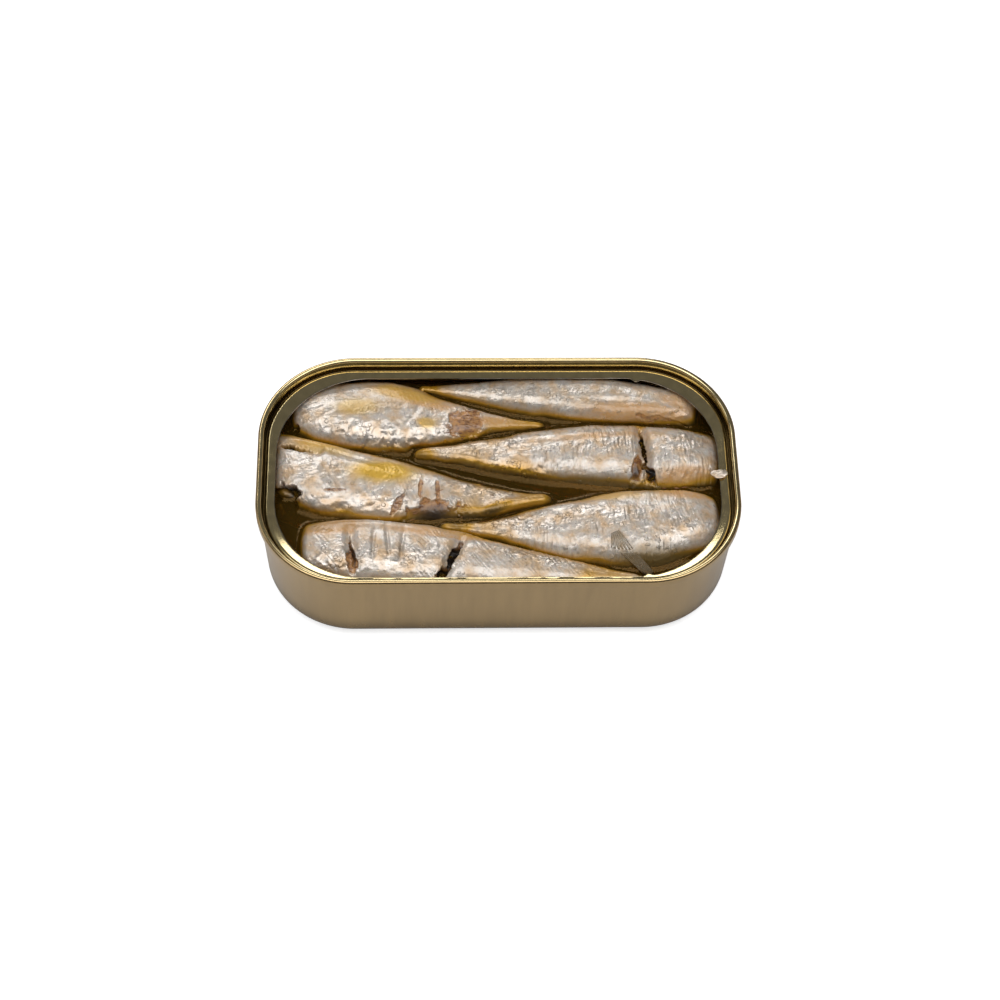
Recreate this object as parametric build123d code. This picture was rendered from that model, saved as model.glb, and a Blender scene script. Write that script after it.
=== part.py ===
from build123d import *
import os
from dataclasses import dataclass
from math import cos, pi, sin

# An opened rectangular sardine tin: a drawn can, the lid's rim and torn ledge in its double seam,
# six headless fish packed head to tail, and their oil.
# Origin at the middle of the base, +X along the tin, +Y towards its back, +Z up. Millimetres.

# ---- tin, outside sizes
RIM_LENGTH = 105.0  # over the seam
RIM_WIDTH = 59.5  # over the seam
RIM_CORNER = 21.2  # corner radius of the seam's outer face
TIN_HEIGHT = 24.5  # base to crest of the seam

# ---- sheet and double seam
SHEET = 0.22  # lacquered tinplate
SEAM_GAP = 0.03  # sealing compound between two folded layers
SEAM_HEIGHT = 2.4  # crest to the lowest fold
HOOK_ROOM = 0.25  # between the end of a hook and the fold that it reaches into
CREST_BEND = 0.48  # middle radius of the lid sheet over the crest

# ---- can below the seam
NECK_BEND = 2.0  # where the wall starts to lean
WALL_DRAFT = 0.9  # how far the wall leans in from the seam to the base
BASE_BEND = 3.4  # outside radius between wall and base
BASE_BORDER = 6.5  # flat border between the wall and the standing panel
PANEL_STEP = 0.6  # how far the standing panel lies below its border
PANEL_SLOPE = 0.9  # width of the step between them
PANEL_BEND = 0.5  # radius of the step's two bends

# ---- what is left of the lid
CHUCK_LEAN = 0.25  # how far the lid's inner wall leans in
GROOVE_DEPTH = 3.3  # crest to the underside of the groove inside the rim
GROOVE_WIDTH = 0.75  # across the groove, between the middles of its sheet
GROOVE_BEND = 0.3
LEDGE_DROP = 2.3  # crest to the top of the ledge
TEAR_ENDS = 4.0  # rim's outer face to the torn edge, at the two ends
TEAR_BACK = 4.2
TEAR_FRONT = 2.85
TEAR_CORNER = 20.0  # corner radius of the torn edge
NIB_PAST = 3.0  # past the start of the torn edge's corner, where the lid's tear began and ended
NIB_LENGTH = 2.6
NIB_REACH = 0.8

# ---- contents
LID_PRESS = 0.78  # the closed lid's underside to the top of the fish
FISH_CLEAR = 0.5  # between a fish and the tin
FISH_GAP = 0.3  # between two fish
FISH_ROOM = 28.78  # half width of the room that the fishes' sizes across the tin fill
OIL_DROP = 4.4  # top of the fish to the oil's level
OIL_CLEAR = 0.15  # between the oil and the tin
OIL_SKIN = 0.15  # between the oil and a fish
SQUARENESS = 2.8  # power of the superellipse that a fish's section follows
SECTION_POINTS = 14
TAIL_DROP = 2.6  # top of the fish to the top of its tail's end
TAIL_HEIGHT = 5.0
CUT_DROP = 2.4  # how much lower the top is at the cut end
CUT_LENGTH = 9.0  # over which the cut end rounds off
STATIONS = (0.0, 0.035, 0.1, 0.2, 0.34, 0.5, 0.64, 0.78, 0.9, 1.0)  # shares of a fish's length

# ---- worked out
LID_UNDERSIDE = TIN_HEIGHT - LEDGE_DROP - SHEET
FISH_TOP = LID_UNDERSIDE - LID_PRESS
OIL_LEVEL = FISH_TOP - OIL_DROP
SEAM_THICKNESS = 5 * SHEET + 4 * SEAM_GAP
INNER_HALF_LENGTH = RIM_LENGTH / 2 - SEAM_THICKNESS + SHEET + SEAM_GAP
INNER_HALF_WIDTH = RIM_WIDTH / 2 - SEAM_THICKNESS + SHEET + SEAM_GAP
PACKING = INNER_HALF_WIDTH / FISH_ROOM  # the fish pack closer in a narrower tin

BACK = 1  # rows, across the tin
MIDDLE = 0
FRONT = -1
LEFT = -1  # ends of the tin
RIGHT = 1


@dataclass(frozen=True)
class Fish:
    """One trunk seen from above, from the end where its head was cut off to its tail."""

    name: str
    end: int  # the end of the tin that its cut end lies at
    end_gap: float  # from the can's wall there to the cut
    tail_gap: float  # from the tail to the wall at the other end
    row: int
    cut_y: float  # its middle line's places across the tin, from the back or front wall or the middle
    mid_y: float
    tail_y: float
    cut_half: float  # half widths
    girth_half: float
    tail_half: float
    girth_at: float  # share of the length
    leanness: float  # a higher one thins out sooner behind the girth

    @property
    def length(self):
        """From the cut to the tail."""
        return 2 * INNER_HALF_LENGTH - self.end_gap - self.tail_gap

    def along(self, distance):
        """Place along the tin at a distance from the cut."""
        return self.end * (INNER_HALF_LENGTH - self.end_gap - distance)

    def middle(self, share):
        """Place across the tin: the parabola through the three given ones."""
        near = 2 * (share - 0.5) * (share - 1)
        mid = -4 * share * (share - 1)
        far = 2 * share * (share - 0.5)
        aside = self.cut_y * near + self.mid_y * mid + self.tail_y * far
        return self.row * INNER_HALF_WIDTH + PACKING * aside

    def half_width(self, share):
        """Rises from the cut to the girth, then tapers to the tail."""
        if share < self.girth_at:
            rise = sin(pi / 2 * share / self.girth_at) ** 0.7
            return PACKING * (self.cut_half + (self.girth_half - self.cut_half) * rise)
        past = (share - self.girth_at) / (1 - self.girth_at)
        taper = (0.5 + 0.5 * cos(pi * past)) ** self.leanness
        return PACKING * (self.tail_half + (self.girth_half - self.tail_half) * taper)

    def heights(self, share):
        """Lowest and highest point of the section."""
        floor = PANEL_STEP + SHEET + FISH_CLEAR
        past = max(0.0, (share - self.girth_at) / (1 - self.girth_at))
        sink = past * past * (3 - 2 * past)
        cut = CUT_DROP * max(0.0, 1 - share * self.length / CUT_LENGTH) ** 2
        tail_low = FISH_TOP - TAIL_DROP - TAIL_HEIGHT
        top = FISH_TOP - TAIL_DROP * sink - cut
        low = floor + (tail_low - floor) * sink + cut
        return low, top

    def solid(self, grown=0.0):
        """The trunk lofted through its sections, or a copy that is larger all round by grown."""
        sections = []
        for share in STATIONS:
            x = self.along((self.length + 2 * grown) * share - grown)
            low, top = self.heights(share)
            half_z = (top - low) / 2 + grown
            half_y = self.half_width(share) + grown
            ring = []
            for step in range(SECTION_POINTS):
                turn = 2 * pi * (step + 0.5) / SECTION_POINTS
                y = self.middle(share) + half_y * rounded(cos(turn))
                z = (top + low) / 2 + half_z * rounded(sin(turn))
                ring.append((x, y, z))
            sections.append(make_face(Spline(*ring, periodic=True)))
        return loft(sections)


# The fish on top comes first: each one gives way to those above it in this list.
FISH = (
    Fish("sardine_middle_right", RIGHT, 1.2, 33.06, MIDDLE, 6.1, 7.9, 8.0, 7.8, 9.3, 1.3, 0.32, 0.8),
    Fish("sardine_back_left", LEFT, 4.9, 40.06, BACK, -9.8, -11.9, -13.3, 4.8, 10.0, 1.3, 0.36, 1.2),
    Fish("sardine_middle_left", LEFT, 1.3, 39.56, MIDDLE, 5.8, -2.3, -4.3, 10.6, 11.2, 1.3, 0.16, 0.75),
    Fish("sardine_front_right", RIGHT, 2.3, 38.2, FRONT, 19.2, 16.4, 17.6, 5.4, 9.9, 1.2, 0.36, 1.1),
    Fish("sardine_front_left", LEFT, 7.9, 20.56, FRONT, 12.2, 8.8, 3.8, 6.6, 9.0, 1.2, 0.26, 0.7),
    Fish("sardine_back_right", RIGHT, 5.3, 31.56, BACK, -9.4, -6.2, -2.8, 4.6, 6.1, 1.0, 0.34, 0.8),
)


@dataclass(frozen=True)
class Split:
    """A V-shaped opening in a fish's upper side."""

    fish: str
    distance: float  # of its middle from the cut end
    aside: float  # of its middle from the fish's middle line
    turn: float  # degrees from +X
    length: float
    width: float
    depth: float

    def solid(self, fish):
        across = fish.middle(self.distance / fish.length) + PACKING * self.aside
        place = Pos(fish.along(self.distance), across, FISH_TOP) * Rot(Z=self.turn)
        low = (0, -self.depth)
        section = make_face(Polyline((-self.width / 2, 0), (self.width / 2, 0), low, close=True))
        return place * extrude(Plane.YZ * section, self.length / 2, both=True)


SPLITS = (
    Split("sardine_middle_right", 17.8, -0.2, 94, 13.0, 1.8, 4.4),
    Split("sardine_middle_left", 7.2, 4.5, -15, 9.0, 1.8, 3.6),
    Split("sardine_front_left", 33.4, -1.2, 64, 11.0, 1.8, 4.0),
    Split("sardine_front_left", 12.0, -2.3, 96, 10.0, 1.4, 3.6),
)

# The gut hollow that the cut laid open
HOLLOW_FISH = "sardine_middle_left"
HOLLOW_DISTANCE = 0.6  # of its middle from the cut end
HOLLOW_ASIDE = -9.4
HOLLOW_DROP = 6.6  # of its middle below the top of the fish
HOLLOW_RADIUS = 3.3


def rounded(value):
    """A sine or cosine with the superellipse's power."""
    size = abs(value) ** (2 / SQUARENESS)
    return size if value > 0 else -size


def layer(number):
    """How far in from the rim's outer face the middle of a folded layer lies; the outermost is 0."""
    return SHEET / 2 + number * (SHEET + SEAM_GAP)


def outline(inset):
    """The tin's plan, moved in from the rim's outer face."""
    return RectangleRounded(RIM_LENGTH - 2 * inset, RIM_WIDTH - 2 * inset, RIM_CORNER - inset)


def slab(inset, low, high):
    """A plate of the tin's plan between two heights."""
    return extrude(Pos(0, 0, low) * outline(inset), high - low)


def folded(points, bends):
    """Sheet bent along a line of (inset, height) points and carried round the tin."""
    middle = FilletPolyline(*points, radius=bends)
    strip = make_face(offset(middle, SHEET / 2, side=Side.BOTH, closed=True))
    path = outline(0).wire()
    forward = path % 0
    across = Plane(path @ 0, x_dir=Vector(0, 0, 1).cross(forward), z_dir=forward)
    return sweep(across * strip, path=path)


def wall_inset(height):
    """How far in the wall's inner face lies at a height."""
    lean = WALL_DRAFT * (TIN_HEIGHT - SEAM_HEIGHT - height) / (TIN_HEIGHT - SEAM_HEIGHT - PANEL_STEP)
    return layer(3) + SHEET / 2 + max(0.0, lean)


def can_body():
    """Base with its standing panel, wall, and the hook that the wall's top edge is folded into."""
    crest = TIN_HEIGHT - SHEET - SEAM_GAP - SHEET / 2
    fold = TIN_HEIGHT - SEAM_HEIGHT
    border = PANEL_STEP + SHEET / 2
    foot = layer(3) + WALL_DRAFT
    step = foot + BASE_BORDER
    panel = step + PANEL_SLOPE
    hook_bend = CREST_BEND - SHEET - SEAM_GAP
    points = (
        (layer(1), fold + SHEET + HOOK_ROOM),
        (layer(1), crest),
        (layer(3), crest),
        (layer(3), fold),
        (foot, border),
        (step, border),
        (panel, SHEET / 2),
        (panel + PANEL_BEND * 2, SHEET / 2),
    )
    bends = (hook_bend, hook_bend, NECK_BEND, BASE_BEND - SHEET / 2, PANEL_BEND, PANEL_BEND)
    return folded(points, bends) + slab(panel + PANEL_BEND * 2, 0, SHEET)


def torn_opening():
    """What the lid's panel left open when it tore away, with a nib at each end of the tear."""
    length = RIM_LENGTH - 2 * TEAR_ENDS
    back = RIM_WIDTH / 2 - TEAR_BACK
    front = -RIM_WIDTH / 2 + TEAR_FRONT
    hole = Pos(0, (back + front) / 2) * RectangleRounded(length, back - front, TEAR_CORNER)
    place = length / 2 - TEAR_CORNER + NIB_PAST
    for edge, inward in ((back, -1), (front, 1)):
        tip = (place, edge + inward * NIB_REACH)
        ends = [(place + side * NIB_LENGTH / 2, edge - inward * SHEET) for side in (-1, 1)]
        hole -= make_face(Polyline(ends[0], tip, ends[1], close=True))
    return extrude(hole, TIN_HEIGHT)


def seam_ring():
    """The lid's rim: hook, outer face, crest, inner wall, groove and the ledge with its torn edge."""
    fold = TIN_HEIGHT - SEAM_HEIGHT + SHEET / 2
    crest = TIN_HEIGHT - SHEET / 2
    hook_end = TIN_HEIGHT - 2 * SHEET - SEAM_GAP - HOOK_ROOM
    groove = TIN_HEIGHT - GROOVE_DEPTH + SHEET / 2
    ledge = TIN_HEIGHT - LEDGE_DROP - SHEET / 2
    chuck = layer(4) + CHUCK_LEAN
    shoulder = chuck + GROOVE_WIDTH
    fold_bend = 0.9 * (SHEET + SEAM_GAP)
    widest = max(TEAR_ENDS, TEAR_BACK, TEAR_FRONT)
    reach = widest + (TEAR_CORNER + widest - RIM_CORNER) / 2 + NIB_REACH
    points = (
        (layer(2), hook_end),
        (layer(2), fold),
        (layer(0), fold),
        (layer(0), crest),
        (layer(4), crest),
        (chuck, groove),
        (shoulder, groove),
        (shoulder, ledge),
        (reach, ledge),
    )
    bends = (fold_bend, fold_bend, CREST_BEND, CREST_BEND, GROOVE_BEND, GROOVE_BEND, GROOVE_BEND)
    return folded(points, bends) - torn_opening()


def inside(clear, top):
    """The room in the can up to a height, kept clear of the wall, the base and the groove."""
    floor = PANEL_STEP + SHEET + clear
    under_groove = TIN_HEIGHT - GROOVE_DEPTH - clear
    low = Pos(0, 0, floor) * outline(wall_inset(floor) + clear)
    high = Pos(0, 0, under_groove) * outline(wall_inset(under_groove) + clear)
    room = loft([low, high])
    room = fillet(room.edges().group_by(Axis.Z)[0], BASE_BEND - SHEET - clear)
    shoulder = layer(4) + CHUCK_LEAN + GROOVE_WIDTH + SHEET / 2 + clear
    room += slab(shoulder, under_groove, TIN_HEIGHT)
    return room & slab(0, 0, top)


def gut_hollow(fish):
    """The ball that stands for the hollow in a fish's cut end."""
    across = fish.middle(HOLLOW_DISTANCE / fish.length) + PACKING * HOLLOW_ASIDE
    return Pos(fish.along(HOLLOW_DISTANCE), across, FISH_TOP - HOLLOW_DROP) * Sphere(HOLLOW_RADIUS)


def fish_bodies():
    """Each trunk, trimmed to the tin and to the fish above it, with its splits."""
    room = inside(FISH_CLEAR, LID_UNDERSIDE - FISH_CLEAR)
    bodies = {}
    for place, fish in enumerate(FISH):
        body = fish.solid() & room
        for above in FISH[:place]:
            body -= above.solid(FISH_GAP)
        for split in SPLITS:
            if split.fish == fish.name:
                body -= split.solid(fish)
        if fish.name == HOLLOW_FISH:
            body -= gut_hollow(fish)
        bodies[fish.name] = body
    return bodies


def oil():
    """The oil that fills the can round the fish, up to its level."""
    body = inside(OIL_CLEAR, OIL_LEVEL)
    for fish in FISH:
        body -= fish.solid(OIL_SKIN)
    return body


def write(shape, name):
    """Keep one piece as a STEP file."""
    export_step(shape, os.path.join("parts", name + ".step"))
    print(name, len(shape.solids()), shape.is_valid, round(shape.volume, 1))


os.makedirs("parts", exist_ok=True)
write(can_body(), "can_body")
write(seam_ring(), "seam_ring")
for name, body in fish_bodies().items():
    write(body, name)
write(oil(), "oil")
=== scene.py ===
"""The looks of an opened sardine tin: gold lacquered can, torn lid ledge, six oily fish and amber oil."""
import logging
import math
from dataclasses import dataclass, field
from enum import Enum
from typing import Any, Iterable, Mapping

import bmesh
import bpy
import numpy as np
from mathutils import Matrix, Vector
from mathutils.bvhtree import BVHTree


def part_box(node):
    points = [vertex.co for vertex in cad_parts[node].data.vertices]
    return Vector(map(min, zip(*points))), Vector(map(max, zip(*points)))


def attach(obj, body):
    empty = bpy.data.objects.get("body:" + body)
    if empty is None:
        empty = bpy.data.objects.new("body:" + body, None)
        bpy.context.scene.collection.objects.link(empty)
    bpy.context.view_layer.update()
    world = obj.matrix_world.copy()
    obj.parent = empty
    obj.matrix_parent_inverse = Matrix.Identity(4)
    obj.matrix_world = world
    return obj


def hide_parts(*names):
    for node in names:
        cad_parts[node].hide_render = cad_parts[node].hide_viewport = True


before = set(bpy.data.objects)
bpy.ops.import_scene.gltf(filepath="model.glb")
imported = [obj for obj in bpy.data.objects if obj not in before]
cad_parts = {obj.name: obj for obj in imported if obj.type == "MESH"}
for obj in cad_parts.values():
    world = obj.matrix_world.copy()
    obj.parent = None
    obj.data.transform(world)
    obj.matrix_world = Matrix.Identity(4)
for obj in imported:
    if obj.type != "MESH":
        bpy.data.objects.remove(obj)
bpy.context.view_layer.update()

log = logging.getLogger("sardine_tin")
MM = 0.001  # metres in a millimetre
BODY = "root"
Socket = bpy.types.NodeSocket
Nodes = bpy.types.NodeTree


# ------------------------------------------------------------------ nodes
def rgb(code: str) -> tuple[float, float, float, float]:
    """Turn an sRGB hex colour into linear light.

    Args:
        code: six hex digits.

    Returns:
        Red, green, blue and an alpha of 1.
    """
    parts = [int(code[i:i + 2], 16) / 255 for i in (0, 2, 4)]
    linear = [c / 12.92 if c <= 0.04045 else ((c + 0.055) / 1.055) ** 2.4 for c in parts]
    return linear[0], linear[1], linear[2], 1.0


def add(tree: Nodes, kind: str, inputs: Mapping[int | str, Any] | None = None,
        **settings: Any) -> bpy.types.Node:
    """Add a node with its settings, values and links.

    Args:
        tree: the tree that gets the node.
        kind: the node's type name.
        inputs: by socket name or place, a value or the output socket that feeds it.
        settings: the node's own properties.

    Returns:
        The new node.
    """
    node = tree.nodes.new(kind)
    for name, value in settings.items():
        setattr(node, name, value)
    for key, value in (inputs or {}).items():
        if isinstance(value, Socket):
            tree.links.new(value, node.inputs[key])
        else:
            node.inputs[key].default_value = value
    return node


def work_out(tree: Nodes, operation: str, *values: Any, clamp: bool = False) -> Socket:
    """Work out a number."""
    node = add(tree, "ShaderNodeMath", dict(enumerate(values)), operation=operation, use_clamp=clamp)
    return node.outputs[0]


def start_material(name: str) -> tuple[bpy.types.Material, Nodes]:
    """Make an empty material.

    Args:
        name: what the finish really is.

    Returns:
        The material and its tree.
    """
    material = bpy.data.materials.new(name)
    material.use_nodes = True
    material.node_tree.nodes.clear()
    return material, material.node_tree


def mask(tree: Nodes, name: str) -> Socket:
    """Read a mask that the mesh carries at its corners."""
    return add(tree, "ShaderNodeAttribute", attribute_name=name).outputs["Fac"]


def noise(tree: Nodes, place: Socket, size_mm: float, detail: float) -> Socket:
    """Add noise with lumps of a given size."""
    scale = 1 / (size_mm * MM)
    return add(tree, "ShaderNodeTexNoise", {"Vector": place, "Scale": scale, "Detail": detail}).outputs[0]


def ramp(tree: Nodes, value: Socket, start: float, full: float, low: float = 0.0,
         high: float = 1.0) -> Socket:
    """Stretch a value, so that start becomes low and full becomes high."""
    return add(tree, "ShaderNodeMapRange", {0: value, 1: start, 2: full, 3: low, 4: high}).outputs[0]


def bumps(tree: Nodes, height: Socket, strength: float, depth_mm: float) -> Socket:
    """Turn a pattern into bumps."""
    sizes = {"Height": height, "Strength": strength, "Distance": depth_mm * MM}
    return add(tree, "ShaderNodeBump", sizes).outputs[0]


def blend(tree: Nodes, weight: Any, first: Any, second: Any, how: str = "MIX") -> Socket:
    """Mix two colours."""
    node = add(tree, "ShaderNodeMix", {0: weight, 6: first, 7: second}, data_type="RGBA", blend_type=how)
    return node.outputs[2]


# ------------------------------------------------------------------ meshes
def mesh_piece(name: str, points: np.ndarray, faces: Iterable[Iterable[int]],
               material: bpy.types.Material) -> bpy.types.Object:
    """Make a smooth mesh object at the origin.

    Args:
        name: the piece's name.
        points: corners in millimetres, one row each.
        faces: corner numbers of each face.
        material: its finish.

    Returns:
        The linked object.
    """
    mesh = bpy.data.meshes.new(name)
    mesh.from_pydata((points * MM).tolist(), [], list(faces))
    mesh.materials.append(material)
    mesh.shade_smooth()
    mesh.update()
    piece = bpy.data.objects.new(name, mesh)
    bpy.context.scene.collection.objects.link(piece)
    return piece


def ring_faces(rows: int, columns: int) -> list[list[int]]:
    """Number the faces of a grid that closes round its second axis, with a tip corner at each end.

    Args:
        rows: number of rings.
        columns: corners in each ring.

    Returns:
        The faces; the two tips are the last two corners.
    """
    here = np.arange(rows * columns).reshape(rows, columns)
    after = np.roll(here, -1, axis=1)
    faces = np.stack([here[:-1], here[1:], after[1:], after[:-1]], axis=-1).reshape(-1, 4).tolist()
    faces += [[here.size, int(a), int(b)] for a, b in zip(here[0], after[0])]
    faces += [[here.size + 1, int(b), int(a)] for a, b in zip(here[-1], after[-1])]
    return faces


def face_outwards(piece: bpy.types.Object) -> None:
    """Turn all faces of a closed piece outwards.

    Args:
        piece: the piece, whose mesh is changed.
    """
    shape = bmesh.new()
    shape.from_mesh(piece.data)
    bmesh.ops.recalc_face_normals(shape, faces=shape.faces)
    shape.to_mesh(piece.data)
    shape.free()


def set_mask(piece: bpy.types.Object, name: str, values: np.ndarray) -> None:
    """Keep a number at each corner for the finish to read."""
    layer = piece.data.attributes.new(name, "FLOAT", "POINT")
    layer.data.foreach_set("value", values.astype(np.float32))


def settle(piece: bpy.types.Object, node: str = "") -> None:
    """Attach a piece to the body, hide the CAD node that it stands for and log its faces.

    Args:
        piece: the finished piece.
        node: the CAD node that it stands for, if any.
    """
    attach(piece, BODY)
    if node:
        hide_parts(node)
    log.info("%s: %d faces", piece.name, len(piece.data.polygons))


def corner_places(mesh: bpy.types.Mesh) -> np.ndarray:
    """Read a mesh's corners.

    Args:
        mesh: the mesh.

    Returns:
        Places in metres, one row each.
    """
    points = np.empty(len(mesh.vertices) * 3, np.float32)
    mesh.vertices.foreach_get("co", points)
    return points.reshape(-1, 3)


# ------------------------------------------------------------------ numbers
def smooth_step(low: float, high: float, value: np.ndarray) -> np.ndarray:
    """Rise smoothly from 0 at low to 1 at high, or fall where high is the lower one."""
    t = np.clip((value - low) / (high - low), 0, 1)
    return t * t * (3 - 2 * t)


def blur(values: np.ndarray, sigma: float, axis: int) -> np.ndarray:
    """Soften values with a bell curve, holding the ends.

    Args:
        values: what is softened.
        sigma: the bell's width in steps.
        axis: the axis that it runs along.

    Returns:
        As many values as came in.
    """
    reach = int(3 * sigma) + 1
    bell = np.exp(-0.5 * (np.arange(-reach, reach + 1) / sigma) ** 2)
    bell /= bell.sum()
    wide = [(0, 0)] * values.ndim
    wide[axis] = (reach, reach)
    padded = np.pad(values, wide, mode="edge")
    return np.apply_along_axis(lambda line: np.convolve(line, bell, "valid"), axis, padded)


def cubic_weights(t: np.ndarray) -> list[np.ndarray]:
    """Give the four weights of a smooth curve through evenly spaced values."""
    return [(-t + 2 * t ** 2 - t ** 3) / 2, (2 - 5 * t ** 2 + 3 * t ** 3) / 2,
            (t + 4 * t ** 2 - 3 * t ** 3) / 2, (-t ** 2 + t ** 3) / 2]


def resample(values: np.ndarray, rows: np.ndarray, columns: np.ndarray | None) -> np.ndarray:
    """Read a table between its rows and columns.

    Args:
        values: the table.
        rows: where to read along its first axis.
        columns: where to read along its second axis, which closes into a ring; None reads all of it.

    Returns:
        The values read.
    """
    base = np.clip(np.floor(rows).astype(int), 0, len(values) - 2)
    result = 0
    for step, weight in enumerate(cubic_weights(rows - base)):
        result = result + weight[:, None] * values[np.clip(base + step - 1, 0, len(values) - 1)]
    if columns is None:
        return result
    base = np.floor(columns).astype(int)
    ring = 0
    for step, weight in enumerate(cubic_weights(columns - base)):
        ring = ring + weight[None] * result[:, (base + step - 1) % values.shape[1]]
    return ring


def grid_normals(grid: np.ndarray) -> np.ndarray:
    """Work out the outward directions of a grid that closes round its second axis.

    Args:
        grid: points by station and angle.

    Returns:
        A direction of length 1 for each.
    """
    along = np.gradient(grid, axis=0)
    round_it = (np.roll(grid, -1, axis=1) - np.roll(grid, 1, axis=1)) / 2
    normal = np.cross(round_it, along)
    normal /= np.linalg.norm(normal, axis=2, keepdims=True) + 1e-9
    outward = grid - grid.mean(axis=1, keepdims=True)
    return normal * np.sign((normal * outward).sum(axis=2).mean())


class Grain:
    """Smooth random relief on a lattice, the same each run."""

    SIZE = 256
    LAYER_SHIFT = 17.3  # keeps the layers from lining up

    def __init__(self, seed: int) -> None:
        """Shuffle the lattice.

        Args:
            seed: picks the shuffle.
        """
        rng = np.random.default_rng(seed)
        self.order = rng.permutation(self.SIZE)
        self.values = rng.uniform(-1, 1, self.SIZE)

    def at(self, points: np.ndarray, cell: float) -> np.ndarray:
        """Read the relief.

        Args:
            points: places, one row of three numbers each.
            cell: the lattice's pitch in the same unit.

        Returns:
            Values from about -1 to 1.
        """
        place = points / cell
        base = np.floor(place).astype(int)
        t = place - base
        t = t * t * t * (t * (t * 6 - 15) + 10)
        total = np.zeros(len(points))
        for corner in range(8):
            step = np.array([corner & 1, corner >> 1 & 1, corner >> 2 & 1])
            key = (base + step) % self.SIZE
            slot = (self.order[key[:, 0]] + key[:, 1]) % self.SIZE
            slot = self.order[(self.order[slot] + key[:, 2]) % self.SIZE]
            total += np.prod(np.where(step, t, 1 - t), axis=1) * self.values[slot]
        return total

    def layers(self, points: np.ndarray, cell: float, count: int, fade: float = 0.5) -> np.ndarray:
        """Add up finer and finer relief.

        Args:
            points: places, one row of three numbers each.
            cell: the first layer's pitch; each next one is half of it.
            count: number of layers.
            fade: how high each layer is against the one before.

        Returns:
            The sums.
        """
        total = np.zeros(len(points))
        for number in range(count):
            total += self.at(points + self.LAYER_SHIFT * number, cell / 2 ** number) * fade ** number
        return total


# ------------------------------------------------------------------ finishes
@dataclass(frozen=True)
class Tinplate:
    """Bright tinplate, roll lacquered gold and drawn: a satin metal, browner outside than in the lid, partly
    its lacquer and partly a painted darker reflection.

    The lacquer's tint lies in the metal's colour and its gloss in the coat. Drawing leaves faint upright
    streaks, painted shade darkens the rim's groove, the inside below the oil and the foot, and the torn
    edge shows bare grey steel.
    """

    name: str = "tinplate_gold_lacquer"
    # partly the outside lacquer, partly a painted darker, browner reflection from below
    outside: str = "b99d70"
    inside: str = "e3cf9c"
    steel: str = "a9a49a"
    roughness: float = 0.2
    polish: float = 0.08
    # painted shade colour for the groove, the inside below the oil and the foot
    shade_tint: str = "6b6046"
    dull_roughness: float = 0.12
    streak_mm: float = 2.2
    streak_squeeze: float = 0.1
    grain_mm: float = 0.3
    wave_mm: float = 7.0
    wave_share: float = 5.0

    def make(self) -> bpy.types.Material:
        """Build the material.

        Returns:
            The finished material.
        """
        material, tree = start_material(self.name)
        place = add(tree, "ShaderNodeTexCoord").outputs["Object"]
        gold, cut, painted_shade = (mask(tree, name) for name in ("gold", "cut", "painted_shade"))
        squeeze = (1, 1, self.streak_squeeze)
        upright = add(tree, "ShaderNodeMapping", {"Vector": place, "Scale": squeeze}).outputs[0]
        mottle = noise(tree, upright, self.streak_mm, 4.0)
        tint = blend(tree, gold, rgb(self.outside), rgb(self.inside))
        tint = blend(tree, 1.0, tint, ramp(tree, mottle, 0.3, 0.7, 0.9, 1.05), "MULTIPLY")
        # painted shade: groove, inside below the oil and foot darkened
        tint = blend(tree, painted_shade, tint, rgb(self.shade_tint), "MULTIPLY")
        tint = blend(tree, cut, tint, rgb(self.steel))
        satin = ramp(tree, mottle, 0.3, 0.7, self.roughness - 0.03, self.roughness + 0.06)
        smooth = ramp(tree, mottle, 0.3, 0.7, self.polish - 0.01, self.polish + 0.03)
        rough = add(tree, "ShaderNodeMix", {0: gold, 2: satin, 3: smooth}).outputs[0]
        rough = work_out(tree, "MULTIPLY_ADD", painted_shade, self.dull_roughness, rough)
        wave, fine = noise(tree, place, self.wave_mm, 1.0), noise(tree, place, self.grain_mm, 2.0)
        rise = work_out(tree, "MULTIPLY_ADD", wave, self.wave_share, fine)
        bump = bumps(tree, rise, 0.25, 0.03)
        shader = add(tree, "ShaderNodeBsdfPrincipled",
                     {"Base Color": tint, "Metallic": 1.0, "Roughness": rough, "Normal": bump,
                      "Coat Weight": 0.25, "Coat Roughness": 0.07})
        add(tree, "ShaderNodeOutputMaterial", {"Surface": shader.outputs[0]})
        return material


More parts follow.
